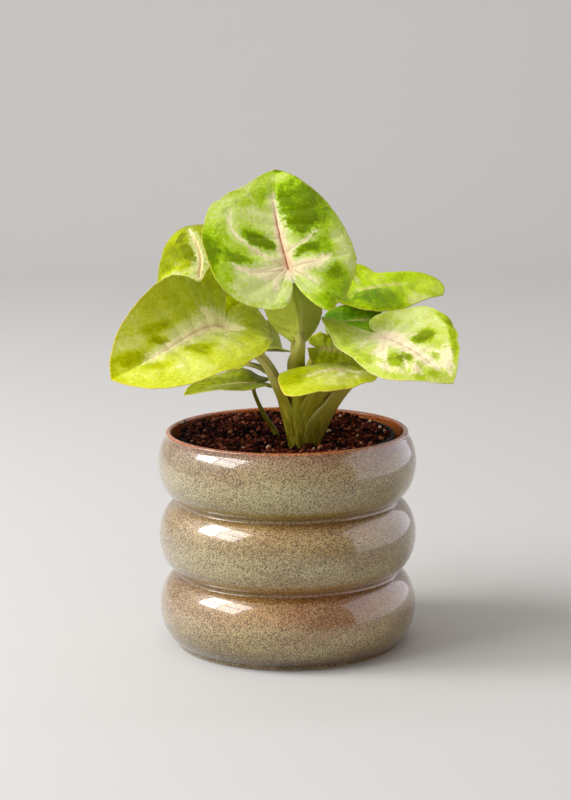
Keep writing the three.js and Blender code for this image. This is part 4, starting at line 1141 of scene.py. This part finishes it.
def blade_sheet(leaf, spokes, shares, wave):
    """Polar grid of the blade: spokes at angles closer together near the tip, rings at shares of the outline's
    radius. Returns the flat (u, v), the ripple off it, each point's share and its distance from the outline."""
    t = np.linspace(0, 1, spokes)
    degrees = 180 * (0.45 * t + 0.55 * t**1.6)
    half = np.concatenate((np.ones(spokes), -np.ones(spokes - 2)))
    degrees = np.concatenate((degrees, degrees[1:-1][::-1]))
    radius = outline_radius(leaf, half, degrees)
    # The margin wanders in and out by about half a millimetre, but not at the tip or in the sinus.
    wander = lumps(degrees / 9 + 40 * half, half) + 0.5 * lumps(degrees / 3.4 + 17 * half, half + 3)
    radius = radius + MARGIN_WANDER * wander * smooth(degrees / 14) * smooth((172 - degrees) / 20)
    angle = np.radians(degrees * (1 - half * leaf["skew"] / 180))
    reach = shares[:, None] * radius
    u = half * reach * np.sin(angle)
    v = reach * np.cos(angle)
    ripple = np.sin(np.radians(degrees)) * np.sin(np.radians(WAVE_TURNS * degrees + half * WAVE_SHIFT))
    rise = wave * shares[:, None] ** 2 * ripple
    gap = (1 - shares[:, None]) * radius
    return np.stack((u, v), -1).reshape(-1, 2), rise.ravel(), np.repeat(shares, len(radius)), gap.ravel()


BLADE_FIELDS = ("depth", "cream", "haze", "blush", "line", "margin", "under", "faint")


def leaf_blade(leaf):
    """Variegated aroid leaf: a waxy satin skin, cream where the tissue holds no green, flushed pink at the joint and
    along the midrib, with a thin red-brown midrib line, green that gathers in soft-edged patches between the veins,
    and a fine yellow margin. The underside is paler and duller."""
    material, tree, shader = new_material("Leaf blade " + leaf["name"].replace("_", " "))
    pale, light, body, deep, dark, cream, blush, line, margin, under = map(linear, PALETTES[leaf["palette"]].split())
    flat = add_node(tree, "ShaderNodeUVMap", uv_map="UVMap")
    field = {
        key: add_node(tree, "ShaderNodeAttribute", attribute_name=key, attribute_type="GEOMETRY").outputs["Fac"]
        for key in BLADE_FIELDS
    }
    # UV counts centimetres. Patches about 8 mm across fray into specks about 1.5 mm across at their edges.
    cloud = add_node(tree, "ShaderNodeTexNoise", {"Vector": flat, "Scale": 1.3, "Detail": 3.0, "Roughness": 0.6})
    specks = add_node(tree, "ShaderNodeTexNoise", {"Vector": flat, "Scale": 5.5, "Detail": 3.0, "Roughness": 0.6})
    level = {"From Min": 0.3, "From Max": 0.7}
    shift = add_node(tree, "ShaderNodeMapRange", {"Value": cloud, **level, "To Min": -0.26, "To Max": 0.26})
    fray = add_node(tree, "ShaderNodeMapRange", {"Value": specks, **level, "To Min": -0.3, "To Max": 0.3})
    moved = add_node(tree, "ShaderNodeMath", {0: field["depth"], 1: shift}, operation="ADD")
    ragged = add_node(tree, "ShaderNodeMath", {0: moved, 1: fray}, operation="ADD")
    place = add_node(tree, "ShaderNodeMapRange", {"Value": ragged, "From Min": -1.2, "From Max": 1.2})
    greens = add_node(tree, "ShaderNodeValToRGB", {"Fac": place})
    set_stops(greens.color_ramp, zip((0.1, 0.32, 0.52, 0.74, 0.98), (pale, light, body, deep, dark)))
    # The haze and the cream along the ribs fray with the same specks.
    soft = []
    for key, amount, low, high, most in (("haze", 1.2, 0.36, 1.15, 0.85), ("cream", 1.1, 0.33, 1.0, 1.0)):
        frayed = add_node(tree, "ShaderNodeMath", {0: fray, 1: amount, 2: field[key]}, operation="MULTIPLY_ADD")
        reach = {"Value": frayed, "From Min": low, "From Max": high, "To Max": most}
        soft.append(add_node(tree, "ShaderNodeMapRange", reach, interpolation_type="SMOOTHSTEP"))
    hazy, creamy = soft
    # Finer side veins are a little lighter, and underneath the leaf's colours show through the paler skin.
    veined = add_node(tree, "ShaderNodeMath", {0: field["faint"], 1: 0.16}, operation="MULTIPLY")
    beneath = add_node(tree, "ShaderNodeMath", {0: field["under"], 1: 0.7}, operation="MULTIPLY")
    surface = greens
    for share, over in (
        (veined, light),
        (hazy, pale),
        (creamy, cream),
        (field["blush"], blush),
        (field["line"], line),
        (field["margin"], margin),
        (beneath, under),
    ):
        surface = add_node(tree, "ShaderNodeMix", {"Factor": share, "A": surface, "B": over}, data_type="RGBA")
    # Cells of the skin, drawn about 0.6 mm across so that they show, and the net of finest veins at 2.5 mm.
    skin = add_node(tree, "ShaderNodeTexVoronoi", {"Vector": flat, "Scale": 16.0}, feature="F1")
    net = add_node(tree, "ShaderNodeTexNoise", {"Vector": flat, "Scale": 4.0, "Detail": 2.0})
    grain = add_node(tree, "ShaderNodeBump", {"Strength": 0.12, "Distance": 0.0002, "Height": skin})
    pucker = {"Strength": 0.4, "Distance": 0.001, "Height": net, "Normal": grain}
    gloss = add_node(tree, "ShaderNodeMapRange", {"Value": specks, "To Min": 0.38, "To Max": 0.54})
    looks = {
        "Base Color": surface,
        "Roughness": add_node(tree, "ShaderNodeMath", {0: field["under"], 1: 0.14, 2: gloss}, operation="MULTIPLY_ADD"),
        "Normal": add_node(tree, "ShaderNodeBump", pucker),
        "IOR": 1.42,
        "Specular IOR Level": 0.14,
        "Specular Tint": linear("#f4ee40"),
    }
    plug(tree, shader, looks)
    return material


def blade_side(leaf, settings, way, count):
    """One face of the blade, upper (way 1) or under (way -1), with the given number of rings: the middle surface
    moved along its normals by half the thickness and the relief, and the numbers that colour it."""
    columns = 2 * leaf["spokes"] - 2
    shares = np.linspace(0, 1, count + 1)[1:]
    flat, rise, share, gap = blade_sheet(leaf, leaf["spokes"], shares, settings.wave * 1000)
    band, haze, blush, line, relief, faint = vein_fields(leaf, flat)
    middle = bend_blade(leaf, flat[:, 0], flat[:, 1], rise)
    quads = grid_quads(count, columns)
    normal = vertex_normals(middle, quads)
    half = settings.thickness * 1000 / 2 * (1 - RIM_THINNING * smooth((share - 0.8) / 0.2))
    fade = 1 - smooth((share - 0.85) / 0.15)
    if way > 0:
        offset = half + relief * fade * settings.relief * leaf.get("relief", 1.0)
    else:
        from_rib, place = nearest_on(leaf["ribs"][0][0], flat)
        keel = KEEL_DEPTH * (1 - 0.8 * place) * np.exp(-((from_rib / (1.5 - 0.7 * place)) ** 2))
        offset = -half - keel * fade - 0.3 * faint * fade + 0.5 * relief * fade * settings.relief
    depth = patch_field(leaf["patches"], flat)
    # Cream and haze stay out of the darkest patches.
    clear = 1 - 0.85 * smooth((depth - 0.35) / 0.8)
    rim_width = 0.8 + 0.5 * lumps(flat[:, 0] / 6, flat[:, 1] / 6)
    return dict(
        points=middle + normal * offset[:, None],
        hub=bend_blade(leaf, np.zeros(1), np.zeros(1)) + way * normal[:columns].mean(0) * 0.3,
        quads=quads,
        flat=flat,
        depth=leaf["body"] + depth,
        cream=(band + patch_field(leaf["blots"], flat) * (1 - 0.6 * band)) * (0.3 + 0.7 * clear),
        haze=haze * clear,
        blush=np.clip(blush * 0.9, 0, 1) * clear,
        line=np.clip(line * (0.95 if way > 0 else 0.4), 0, 1),
        margin=smooth(1 - gap / settings.margin * MM / rim_width) * 0.75,
        under=np.full(len(flat), 0.0 if way > 0 else 1.0),
        faint=faint,
    )


def build_blade(leaf, settings):
    """Blade with an upper face of many rings and an underside of fewer that share its rim. It is as thick as the
    frame's at the middle and thins to less than half at the margin, and the midrib stands out underneath."""
    upper = blade_side(leaf, settings, 1, leaf["rings"])
    lower = blade_side(leaf, settings, -1, max(12, leaf["rings"] // 3))
    start, end = len(upper["points"]), len(upper["points"]) + len(lower["points"])
    inner = np.arange(2 * leaf["spokes"] - 2)
    above, below = start - len(inner) + inner, end - len(inner) + inner
    points = np.concatenate((upper["points"], lower["points"], upper["hub"], lower["hub"]))
    faces = [
        upper["quads"],
        lower["quads"][:, ::-1] + start,
        np.stack((above, np.roll(above, -1), np.roll(below, -1), below), -1),
        fan(end, inner, flip=True),
        fan(end + 1, inner + start),
    ]
    attributes = {
        key: np.concatenate((upper[key], lower[key], upper[key][:1], lower[key][:1])) for key in BLADE_FIELDS
    }
    uv = np.concatenate((upper["flat"], lower["flat"], ((0, 0), (0, 0)))) / 10
    piece = make_piece("leaf_" + leaf["name"], points, faces, leaf_blade(leaf), leaf["slot"], attributes, uv)
    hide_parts("blade_" + leaf["name"])


class BladeSettings(bpy.types.PropertyGroup):
    """Sizes of the leaf blades."""

    thickness: length_property("Thickness", "Blade thickness at the middle", BLADE_THICKNESS)
    wave: length_property("Wave", "Height of the margin's ripple", WAVE_HEIGHT)
    relief: bpy.props.FloatProperty(
        name="Vein relief", description="How strongly the veins sink in and the skin between them rises", default=1.0
    )
    margin: length_property("Margin", "Width of the yellow margin", MARGIN_WIDTH)


class ARROWHEAD_OT_blades(bpy.types.Operator):
    """Shape every leaf blade over its frame node and colour it."""

    bl_idname = "arrowhead.blades"
    bl_label = "Leaf Blades"

    def execute(self, context):
        for leaf in LEAVES:
            build_blade(leaf, context.scene.arrowhead_blade)
        return {"FINISHED"}


# ---- Stalks and crown ---------------------------------------------------------------------------


def stalk_points(leaf):
    """The stalk's control points: root, soil line and split gathered towards the crown, its own points above, a
    neck square to the blade's underside, and its end just under the blade."""
    up = blade_axes(leaf)[2]
    end = np.array(leaf["joint"], float) - up * (BLADE_THICKNESS / 2 + 2 * CLEARANCE)
    neck = end - up * leaf.get("neck", NECK_LENGTH)
    if "rooted" in leaf:
        below = [(*leaf["rooted"], SHEATH_ROOT_Z)]
    else:
        offset = np.array(leaf["split"]) - CROWN_SPLIT
        near = np.array(CROWN_SOIL) + SHEATH_GATHER * offset
        at_split = np.array(CROWN_SPLIT) + offset
        below = [(*near, SHEATH_ROOT_Z), (*near, SOIL_LINE_Z), (*at_split, SPLIT_Z)]
    return np.array([*below, *leaf["stalk"], neck, end], float)


def centripetal_curve(control, samples=40):
    """Catmull-Rom curve with knots spaced by the square root of the gaps, sampled evenly between the points."""
    padded = np.concatenate(([2 * control[0] - control[1]], control, [2 * control[-1] - control[-2]]))
    pieces = []
    for i in range(len(control) - 1):
        p0, p1, p2, p3 = padded[i : i + 4]
        d0, d1, d2 = (np.linalg.norm(b - a) ** 0.5 for a, b in ((p0, p1), (p1, p2), (p2, p3)))
        m1 = ((p1 - p0) / d0 - (p2 - p0) / (d0 + d1) + (p2 - p1) / d1) * d1
        m2 = ((p2 - p1) / d1 - (p3 - p1) / (d1 + d2) + (p3 - p2) / d2) * d1
        pieces.append(hermite(np.linspace(0, 1, samples, endpoint=False)[:, None], p1, p2, m1, m2))
    return np.concatenate((*pieces, control[-1:]))


def even_steps(curve, spacing):
    """The curve's points moved to even steps of about the given length, and each one's share of the length."""
    travelled = np.concatenate(((0,), np.cumsum(np.linalg.norm(np.diff(curve, axis=0), axis=1))))
    share = np.linspace(0, 1, max(8, int(travelled[-1] / spacing)))
    points = np.stack([np.interp(share * travelled[-1], travelled, curve[:, n]) for n in range(3)], -1)
    return points, share, travelled[-1]


def sheath_width(leaf, z, radius):
    """Half width of a stalk round the crown's axis: its sheath is widest at the soil and narrows to the stalk."""
    if "sheath" not in leaf:
        return radius
    split_width, top = leaf["sheath"]
    below = np.clip((SPLIT_Z - z) / (SPLIT_Z - SOIL_LINE_Z), 0, 1)
    above = smooth((z - SPLIT_Z) / (top + SHEATH_TIP - SPLIT_Z))
    width = (split_width + SHEATH_FLARE) * (1 - below) + SHEATH_SOIL_WIDTH * below
    width = width + SHEATH_SWELL * np.sin(math.pi * below)
    return np.maximum(width * (1 - above) + radius * above, radius)


def stalk_surface(leaf, points, radius, sides):
    """Rings of a stalk along its path, and how much of a sheath's thin edge each point is. Low down a ring is a
    crescent whose thin edges wrap the crown's axis; above, it is round with a shallow channel on its inner side."""
    along = np.gradient(points, axis=0)
    along /= np.linalg.norm(along, axis=1, keepdims=True)
    x, y = np.array(leaf["split"]) - CROWN_SPLIT if "split" in leaf else (-1.0, 0.0)
    reference = np.array((y, -x, 0.0)) / math.hypot(x, y)
    side = reference - along * (along @ reference)[:, None]
    side /= np.linalg.norm(side, axis=1, keepdims=True)
    outward = np.cross(along, side)
    z = points[:, 2]
    width = sheath_width(leaf, z, radius)
    open_share = np.clip(2 * (width / radius - 1), 0, 1)[:, None]
    rise = np.clip((z - SOIL_LINE_Z) / (SPLIT_Z - SOIL_LINE_Z), 0, 1)[:, None]
    axis = np.array(CROWN_SOIL) * (1 - rise) + np.array(CROWN_SPLIT) * rise
    wrap = np.maximum(np.linalg.norm(points[:, :2] - axis, axis=1), SHEATH_LEAST_WRAP)[:, None]
    angle = round_angles(sides)
    inner = np.exp(-((((angle + math.pi / 2 + math.pi) % (2 * math.pi) - math.pi) / 0.5) ** 2))
    section = 1 - STALK_CHANNEL * inner * (1 - open_share) + STALK_RIDGE * np.cos(STALK_RIDGES * angle)
    across = width[:, None] * np.cos(angle) * section
    thin = 1 - open_share * (1 - SHEATH_EDGE_SHARE) * np.cos(angle) ** 2
    lift = radius[:, None] * thin * np.sin(angle) * section - open_share * wrap * (1 - np.cos(across / wrap))
    reach = across * (1 - open_share) + wrap * np.sin(across / wrap) * open_share
    surface = points[:, None] + side[:, None] * reach[..., None] + outward[:, None] * lift[..., None]
    # The pale sheath edges show fully on the crown's right and fade towards its left, which is painted shade.
    unshaded_edge_share = np.clip((surface[..., 0] - CROWN_SPLIT[0]) / 8, 0.12, 1)
    return surface, 0.9 * open_share * np.abs(np.cos(angle)) ** 10 * unshaded_edge_share


def closed_tube(surface, uv, edge):
    """Points, face sets, UV and sheath edge of a tube given ring by ring, its ends closed by fans on rings of their
    own, where UV and edge are 0."""
    rings, sides = surface.shape[:2]
    around, base = np.arange(sides), rings * sides
    first, last = base + 2 * sides, base + 2 * sides + 1
    centres = (surface[0].mean(0), surface[-1].mean(0))
    points = np.concatenate((surface.reshape(-1, 3), surface[0], surface[-1], centres))
    faces = [grid_quads(rings, sides), fan(first, base + around, flip=True), fan(last, base + sides + around)]
    ends = len(points) - base
    uv = np.concatenate((uv.reshape(-1, 2), np.zeros((ends, 2))))
    return points, faces, uv, np.concatenate((edge.ravel(), np.zeros(ends)))


def stalk_skin(settings):
    """Aroid leaf stalk: a smooth, waxy skin over watery tissue, olive green with fine pale stripes along it, more
    yellow and darkened to brown-green by painted shade where the sheaths gather at the soil, with painted light on the
    right sheaths and on the left stalks."""
    material, tree, shader = new_material("Leaf stalk skin")
    flat = add_node(tree, "ShaderNodeUVMap", uv_map="UVMap")
    place = add_node(tree, "ShaderNodeTexCoord").outputs["Object"]
    axes = add_node(tree, "ShaderNodeSeparateXYZ", {"Vector": place}).outputs
    # Painted shade: the skin is darkened from the soil line at 112 mm up to about 140 mm, under the leaves; above, it
    # lightens to the neck.
    rise = add_node(tree, "ShaderNodeMapRange", {"Value": axes["Z"], "From Min": 0.112, "From Max": 0.175})
    ramp = add_node(tree, "ShaderNodeValToRGB", {"Fac": rise})
    shades = (linear("#564a04"), settings.sheath, linear("#8c8214"), settings.stalk, settings.neck)
    set_stops(ramp.color_ramp, zip((0.0, 0.15, 0.4, 0.7, 1.0), shades))
    # Stripes run the stalk's length, 0.7 mm apart round it, among green blotches about 8 mm long.
    drawn = add_node(tree, "ShaderNodeMapping", {"Vector": flat, "Scale": (26.0, 1.2, 1.0)})
    stripe = add_node(tree, "ShaderNodeTexNoise", {"Vector": drawn, "Scale": 1.0, "Detail": 2.0})
    blotch = add_node(tree, "ShaderNodeTexNoise", {"Vector": place, "Scale": 130.0, "Detail": 2.0})
    pale, green, painted_light_right, outer = (
        add_node(tree, "ShaderNodeMapRange", {"Value": value, "From Min": low, "From Max": high, "To Max": most})
        for value, low, high, most in (
            (stripe, 0.45, 0.75, 0.55),
            (blotch, 0.5, 0.75, 0.45),
            (axes["X"], 0.014, 0.03, 0.6),
            (axes["X"], -0.003, -0.012, 0.6),
        )
    )
    # The thin edges of the sheaths hold little green.
    edge = add_node(tree, "ShaderNodeAttribute", attribute_name="edge", attribute_type="GEOMETRY").outputs["Fac"]
    high = add_node(tree, "ShaderNodeMapRange", {"Value": axes["Z"], "From Min": 0.136, "From Max": 0.146})
    painted_light_left = add_node(tree, "ShaderNodeMath", {0: outer, 1: high}, operation="MULTIPLY")
    surface = ramp
    for share, over in (
        (pale, settings.stripe),
        (green, linear("#78821a")),
        (edge, settings.edge),
        # Painted light: the sheaths on the crown's right, from 14 mm on, are lightened to yellow.
        (painted_light_right, linear("#b0a044")),
        # Painted light: the stalks left of -3 mm, above 136 mm, are lightened to a pale khaki.
        (painted_light_left, linear("#d6cc84")),
    ):
        surface = add_node(tree, "ShaderNodeMix", {"Factor": share, "A": surface, "B": over}, data_type="RGBA")
    looks = {
        "Base Color": surface,
        "Roughness": 0.46,
        "IOR": 1.42,
        "Specular IOR Level": 0.18,
        "Specular Tint": linear("#f0e8a0"),
        "Normal": add_node(tree, "ShaderNodeBump", {"Strength": 0.25, "Distance": 0.0003, "Height": stripe}),
    }
    plug(tree, shader, looks)
    return material


class StalkSettings(bpy.types.PropertyGroup):
    """Colours of the leaf stalks."""

    # The sheath colour is darkened by painted shade from the leaves over the crown.
    sheath: colour_property("Sheath", "Skin low on the sheaths", "#6c6204")
    stalk: colour_property("Stalk", "Skin half way up", "#9c983a")
    neck: colour_property("Neck", "Skin near the blade", "#b0aa66")
    stripe: colour_property("Stripes", "Pale stripes", "#bcae44")
    edge: colour_property("Sheath edges", "Thin pale edges", "#cdc68a")


class ARROWHEAD_OT_stalks(bpy.types.Operator):
    """Draw the leaf stalks along their curves, and gather their sheaths in the crown."""

    bl_idname = "arrowhead.stalks"
    bl_label = "Stalks and Crown"

    def execute(self, context):
        material = stalk_skin(context.scene.arrowhead_stalk)
        drawn_in = CROWN_RADIUS - CROWN_SHOULDER_DRAW
        stem = [
            (0, CROWN_BOTTOM_Z),
            (drawn_in, CROWN_BOTTOM_Z),
            (CROWN_RADIUS, CROWN_BOTTOM_Z + CROWN_SHOULDER_DRAW),
            (CROWN_RADIUS, CROWN_SHOULDER_Z - CROWN_SHOULDER_DRAW),
            (drawn_in, CROWN_SHOULDER_Z - 0.6),
            (0, CROWN_SHOULDER_Z),
        ]
        points, faces = turned(stem, CROWN_SEGMENTS)
        # The crown is the short stem and each stalk's sheath up to the split.
        parts = [(points + (*CROWN_SOIL, 0), faces, np.zeros((len(points), 2)), np.zeros(len(points)))]
        for leaf in LEAVES:
            points, share, length = even_steps(centripetal_curve(stalk_points(leaf)), STALK_STEP)
            radius = leaf["girth"] * (1 - (1 - STALK_TIP_SHARE) * smooth(share * 1.1))
            radius = radius * (1 + JOINT_SWELL * smooth((share - 0.94) / 0.06))
            surface, edge = stalk_surface(leaf, points, radius, STALK_SIDES)
            split = 0 if "rooted" in leaf else int(np.searchsorted(points[:, 2], SPLIT_Z))
            around = np.linspace(0, 1, STALK_SIDES, endpoint=False)
            uv = np.stack(np.broadcast_arrays(around, (share * length / 10)[:, None]), -1)
            if split:
                parts.append(closed_tube(surface[: split + 1], uv[: split + 1], edge[: split + 1]))
            points, faces, uv, edge = closed_tube(surface[split:], uv[split:], edge[split:])
            piece = make_piece("petiole_" + leaf["name"], points, faces, material, "leaf_stalk", {"edge": edge}, uv)
            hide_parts("stalk_" + leaf["name"])
        starts = np.cumsum([0] + [len(part[0]) for part in parts[:-1]])
        faces = [some + start for start, part in zip(starts, parts) for some in part[1]]
        points, uv, edge = (np.concatenate([part[n] for part in parts]) for n in (0, 2, 3))
        crown = make_piece("crown_sheaths", points, faces, material, "leaf_stalk", {"edge": edge}, uv)
        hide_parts("crown")
        return {"FINISHED"}


# ---- Stage --------------------------------------------------------------------------------------


class StageSettings(bpy.types.PropertyGroup):
    """Floor, lights and camera."""

    floor: colour_property("Floor", "Seamless paper", "#d2d2d1")
    window: bpy.props.FloatProperty(name="Window", description="Power of each window pane", default=8.2, unit="POWER")
    card: bpy.props.FloatProperty(name="Card", description="Power of the white card", default=9.0, unit="POWER")
    backdrop: bpy.props.FloatProperty(name="Backdrop", description="Power of its light", default=9.0, unit="POWER")
    room: bpy.props.FloatProperty(name="Room", description="Brightness of the room", default=0.74)


def placed(right, up, back, location):
    """Matrix of an object at a location whose axes X, Y and Z are the unit vectors right, up and back."""
    return Matrix([(*row, at) for *row, at in zip(right, up, back, location)] + [(0, 0, 0, 1)])


def aim(location, target):
    """Matrix of an object at a location whose -Z axis points at a target."""
    back = np.array(location, float) - target
    back /= np.linalg.norm(back)
    right = np.cross((0, 0, 1), back)
    right /= np.linalg.norm(right)
    return placed(right, np.cross(back, right), back, location)


def area_light(name, location, target, width, height, power, tint=(1.0, 1.0, 1.0)):
    """A rectangular soft light that faces the target."""
    data = bpy.data.lights.new(name, "AREA")
    data.shape = "RECTANGLE"
    data.size, data.size_y = width, height
    data.energy = power
    data.color = tint
    light = bpy.data.objects.new(name, data)
    light.matrix_world = aim(location, target)
    light.visible_camera = False
    bpy.context.scene.collection.objects.link(light)
    return light


def seamless_paper(settings):
    """Matt seamless backdrop paper, pale grey with fibres about 1.5 mm long."""
    material, tree, shader = new_material("Seamless paper")
    place = add_node(tree, "ShaderNodeTexCoord").outputs["Object"]
    fibre = add_node(tree, "ShaderNodeTexNoise", {"Vector": place, "Scale": 700.0, "Detail": 2.0})
    layers = {"Factor": fibre, "A": settings.floor, "B": linear("#cdcdcc")}
    tint = add_node(tree, "ShaderNodeMix", layers, data_type="RGBA")
    plug(tree, shader, {"Base Color": tint, "Roughness": 0.9, "Specular IOR Level": 0.1})
    return material


class ARROWHEAD_OT_stage(bpy.types.Operator):
    """Lay the seamless floor, hang the window, card and room light, and set the camera."""

    bl_idname = "arrowhead.stage"
    bl_label = "Stage"

    def execute(self, context):
        settings = context.scene.arrowhead_stage
        scene = context.scene
        scene.view_settings.view_transform = "Standard"
        # A level sheet that bends up behind the plant in a quarter circle of 0.9 m.
        turn = np.linspace(0, math.pi / 2, 24)
        bend_start, radius = 1.6, 0.9
        y = np.concatenate(((-3.0, 0.0), bend_start + radius * np.sin(turn), (bend_start + radius,)))
        z = np.concatenate(((0.0, 0.0), radius * (1 - np.cos(turn)), (4.0,)))
        x = np.linspace(-4, 4, 9)
        sheet = np.stack(np.broadcast_arrays(x, y[:, None], z[:, None]), -1).reshape(-1, 3) / MM
        quads = grid_quads(len(y), len(x), wrap=False)
        make_object("paper_sweep", sheet, [quads], seamless_paper(settings))
        # A window of four panes high on the left, a little in front, and a tall white card along the right side.
        window = np.array((-1.26, -0.385, 1.19))
        target = np.array((0.0, 0.0, 0.08))
        facing = aim(window, target)
        right, up = np.array(facing.col[0][:3]), np.array(facing.col[1][:3])
        pane, apart = (0.62, 0.42), (0.335, 0.235)
        for row in (-1, 1):
            for column in (-1, 1):
                at = window + right * column * apart[0] + up * row * apart[1]
                name = f"window_pane_{row}_{column}"
                power = settings.window * (1 - 0.3 * column)
                area_light(name, at, at + (target - window), *pane, power, (1.0, 0.99, 0.98))
        # The card only shows in the glaze; its light doesn't reach matt surfaces.
        card = area_light("white_card", (1.0, 0.42, 0.6), (0.0, 0.42, 0.6), 2.0, 1.2, settings.card, (0.86, 0.84, 1.0))
        card.visible_diffuse = False
        area_light("backdrop_light", (0.0, 1.0, 2.4), (0.0, 2.5, 0.6), 2.4, 0.5, settings.backdrop)
        # The room is white on the left and falls off to a dim beige on the right.
        world = bpy.data.worlds.new("Room")
        world.use_nodes = True
        room = world.node_tree
        around = add_node(room, "ShaderNodeTexCoord").outputs["Generated"]
        across = add_node(room, "ShaderNodeSeparateXYZ", {"Vector": around})
        side = add_node(room, "ShaderNodeMapRange", {"Value": across, "From Min": -0.8, "From Max": 0.8})
        layers = {"Factor": side, "A": linear("#fbfbff"), "B": linear("#bcae9e")}
        walls = add_node(room, "ShaderNodeMix", layers, data_type="RGBA")
        plug(room, room.nodes["Background"], {"Color": walls, "Strength": settings.room})
        scene.world = world
        # Camera 1.1 m in front, 336 mm up, looking 10.49 degrees down and turned 0.37 degrees about its view.
        data = bpy.data.cameras.new("Camera")
        data.sensor_fit = "AUTO"
        data.sensor_width = 36.0
        data.lens = 92.91
        data.clip_end = 50.0
        camera = bpy.data.objects.new("Camera", data)
        pitch, roll = math.radians(10.49), math.radians(-0.37)
        forward = np.array((0, math.cos(pitch), -math.sin(pitch)))
        level = np.array((1.0, 0, 0))
        above = np.array((0, math.sin(pitch), math.cos(pitch)))
        right = level * math.cos(roll) + above * math.sin(roll)
        up = above * math.cos(roll) - level * math.sin(roll)
        camera.matrix_world = placed(right, up, -forward, (-0.00071, -1.0961, 0.33557))
        scene.collection.objects.link(camera)
        scene.camera = camera
        return {"FINISHED"}


# ---- Add-on -------------------------------------------------------------------------------------

OPERATORS = (
    ARROWHEAD_OT_planter,
    ARROWHEAD_OT_nursery_pot,
    ARROWHEAD_OT_soil,
    ARROWHEAD_OT_stalks,
    ARROWHEAD_OT_blades,
    ARROWHEAD_OT_stage,
)
SETTINGS = {
    "arrowhead_planter": PlanterSettings,
    "arrowhead_nursery": NurserySettings,
    "arrowhead_soil": SoilSettings,
    "arrowhead_stalk": StalkSettings,
    "arrowhead_blade": BladeSettings,
    "arrowhead_stage": StageSettings,
}


class ARROWHEAD_PT_panel(bpy.types.Panel):
    """Lists the plant's pieces and their settings."""

    bl_idname = "ARROWHEAD_PT_panel"
    bl_label = "Arrowhead Plant"
    bl_space_type = "VIEW_3D"
    bl_region_type = "UI"
    bl_category = "Arrowhead Plant"

    def draw(self, context):
        for operator in OPERATORS:
            self.layout.operator(operator.bl_idname)
        for key, group in SETTINGS.items():
            box = self.layout.box()
            box.label(text=group.__doc__)
            for name in group.__annotations__:
                box.prop(getattr(context.scene, key), name)


def register():
    for group in SETTINGS.values():
        bpy.utils.register_class(group)
    for key, group in SETTINGS.items():
        setattr(bpy.types.Scene, key, bpy.props.PointerProperty(type=group))
    for operator in (*OPERATORS, ARROWHEAD_PT_panel):
        bpy.utils.register_class(operator)


def unregister():
    for operator in (ARROWHEAD_PT_panel, *reversed(OPERATORS)):
        bpy.utils.unregister_class(operator)
    for key, group in SETTINGS.items():
        delattr(bpy.types.Scene, key)
        bpy.utils.unregister_class(group)


def main():
    """Builds every piece in order."""
    register()
    bpy.ops.arrowhead.planter()
    bpy.ops.arrowhead.nursery_pot()
    bpy.ops.arrowhead.soil()
    bpy.ops.arrowhead.stalks()
    bpy.ops.arrowhead.blades()
    bpy.ops.arrowhead.stage()
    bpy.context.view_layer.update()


if __name__ == "__main__":
    main()
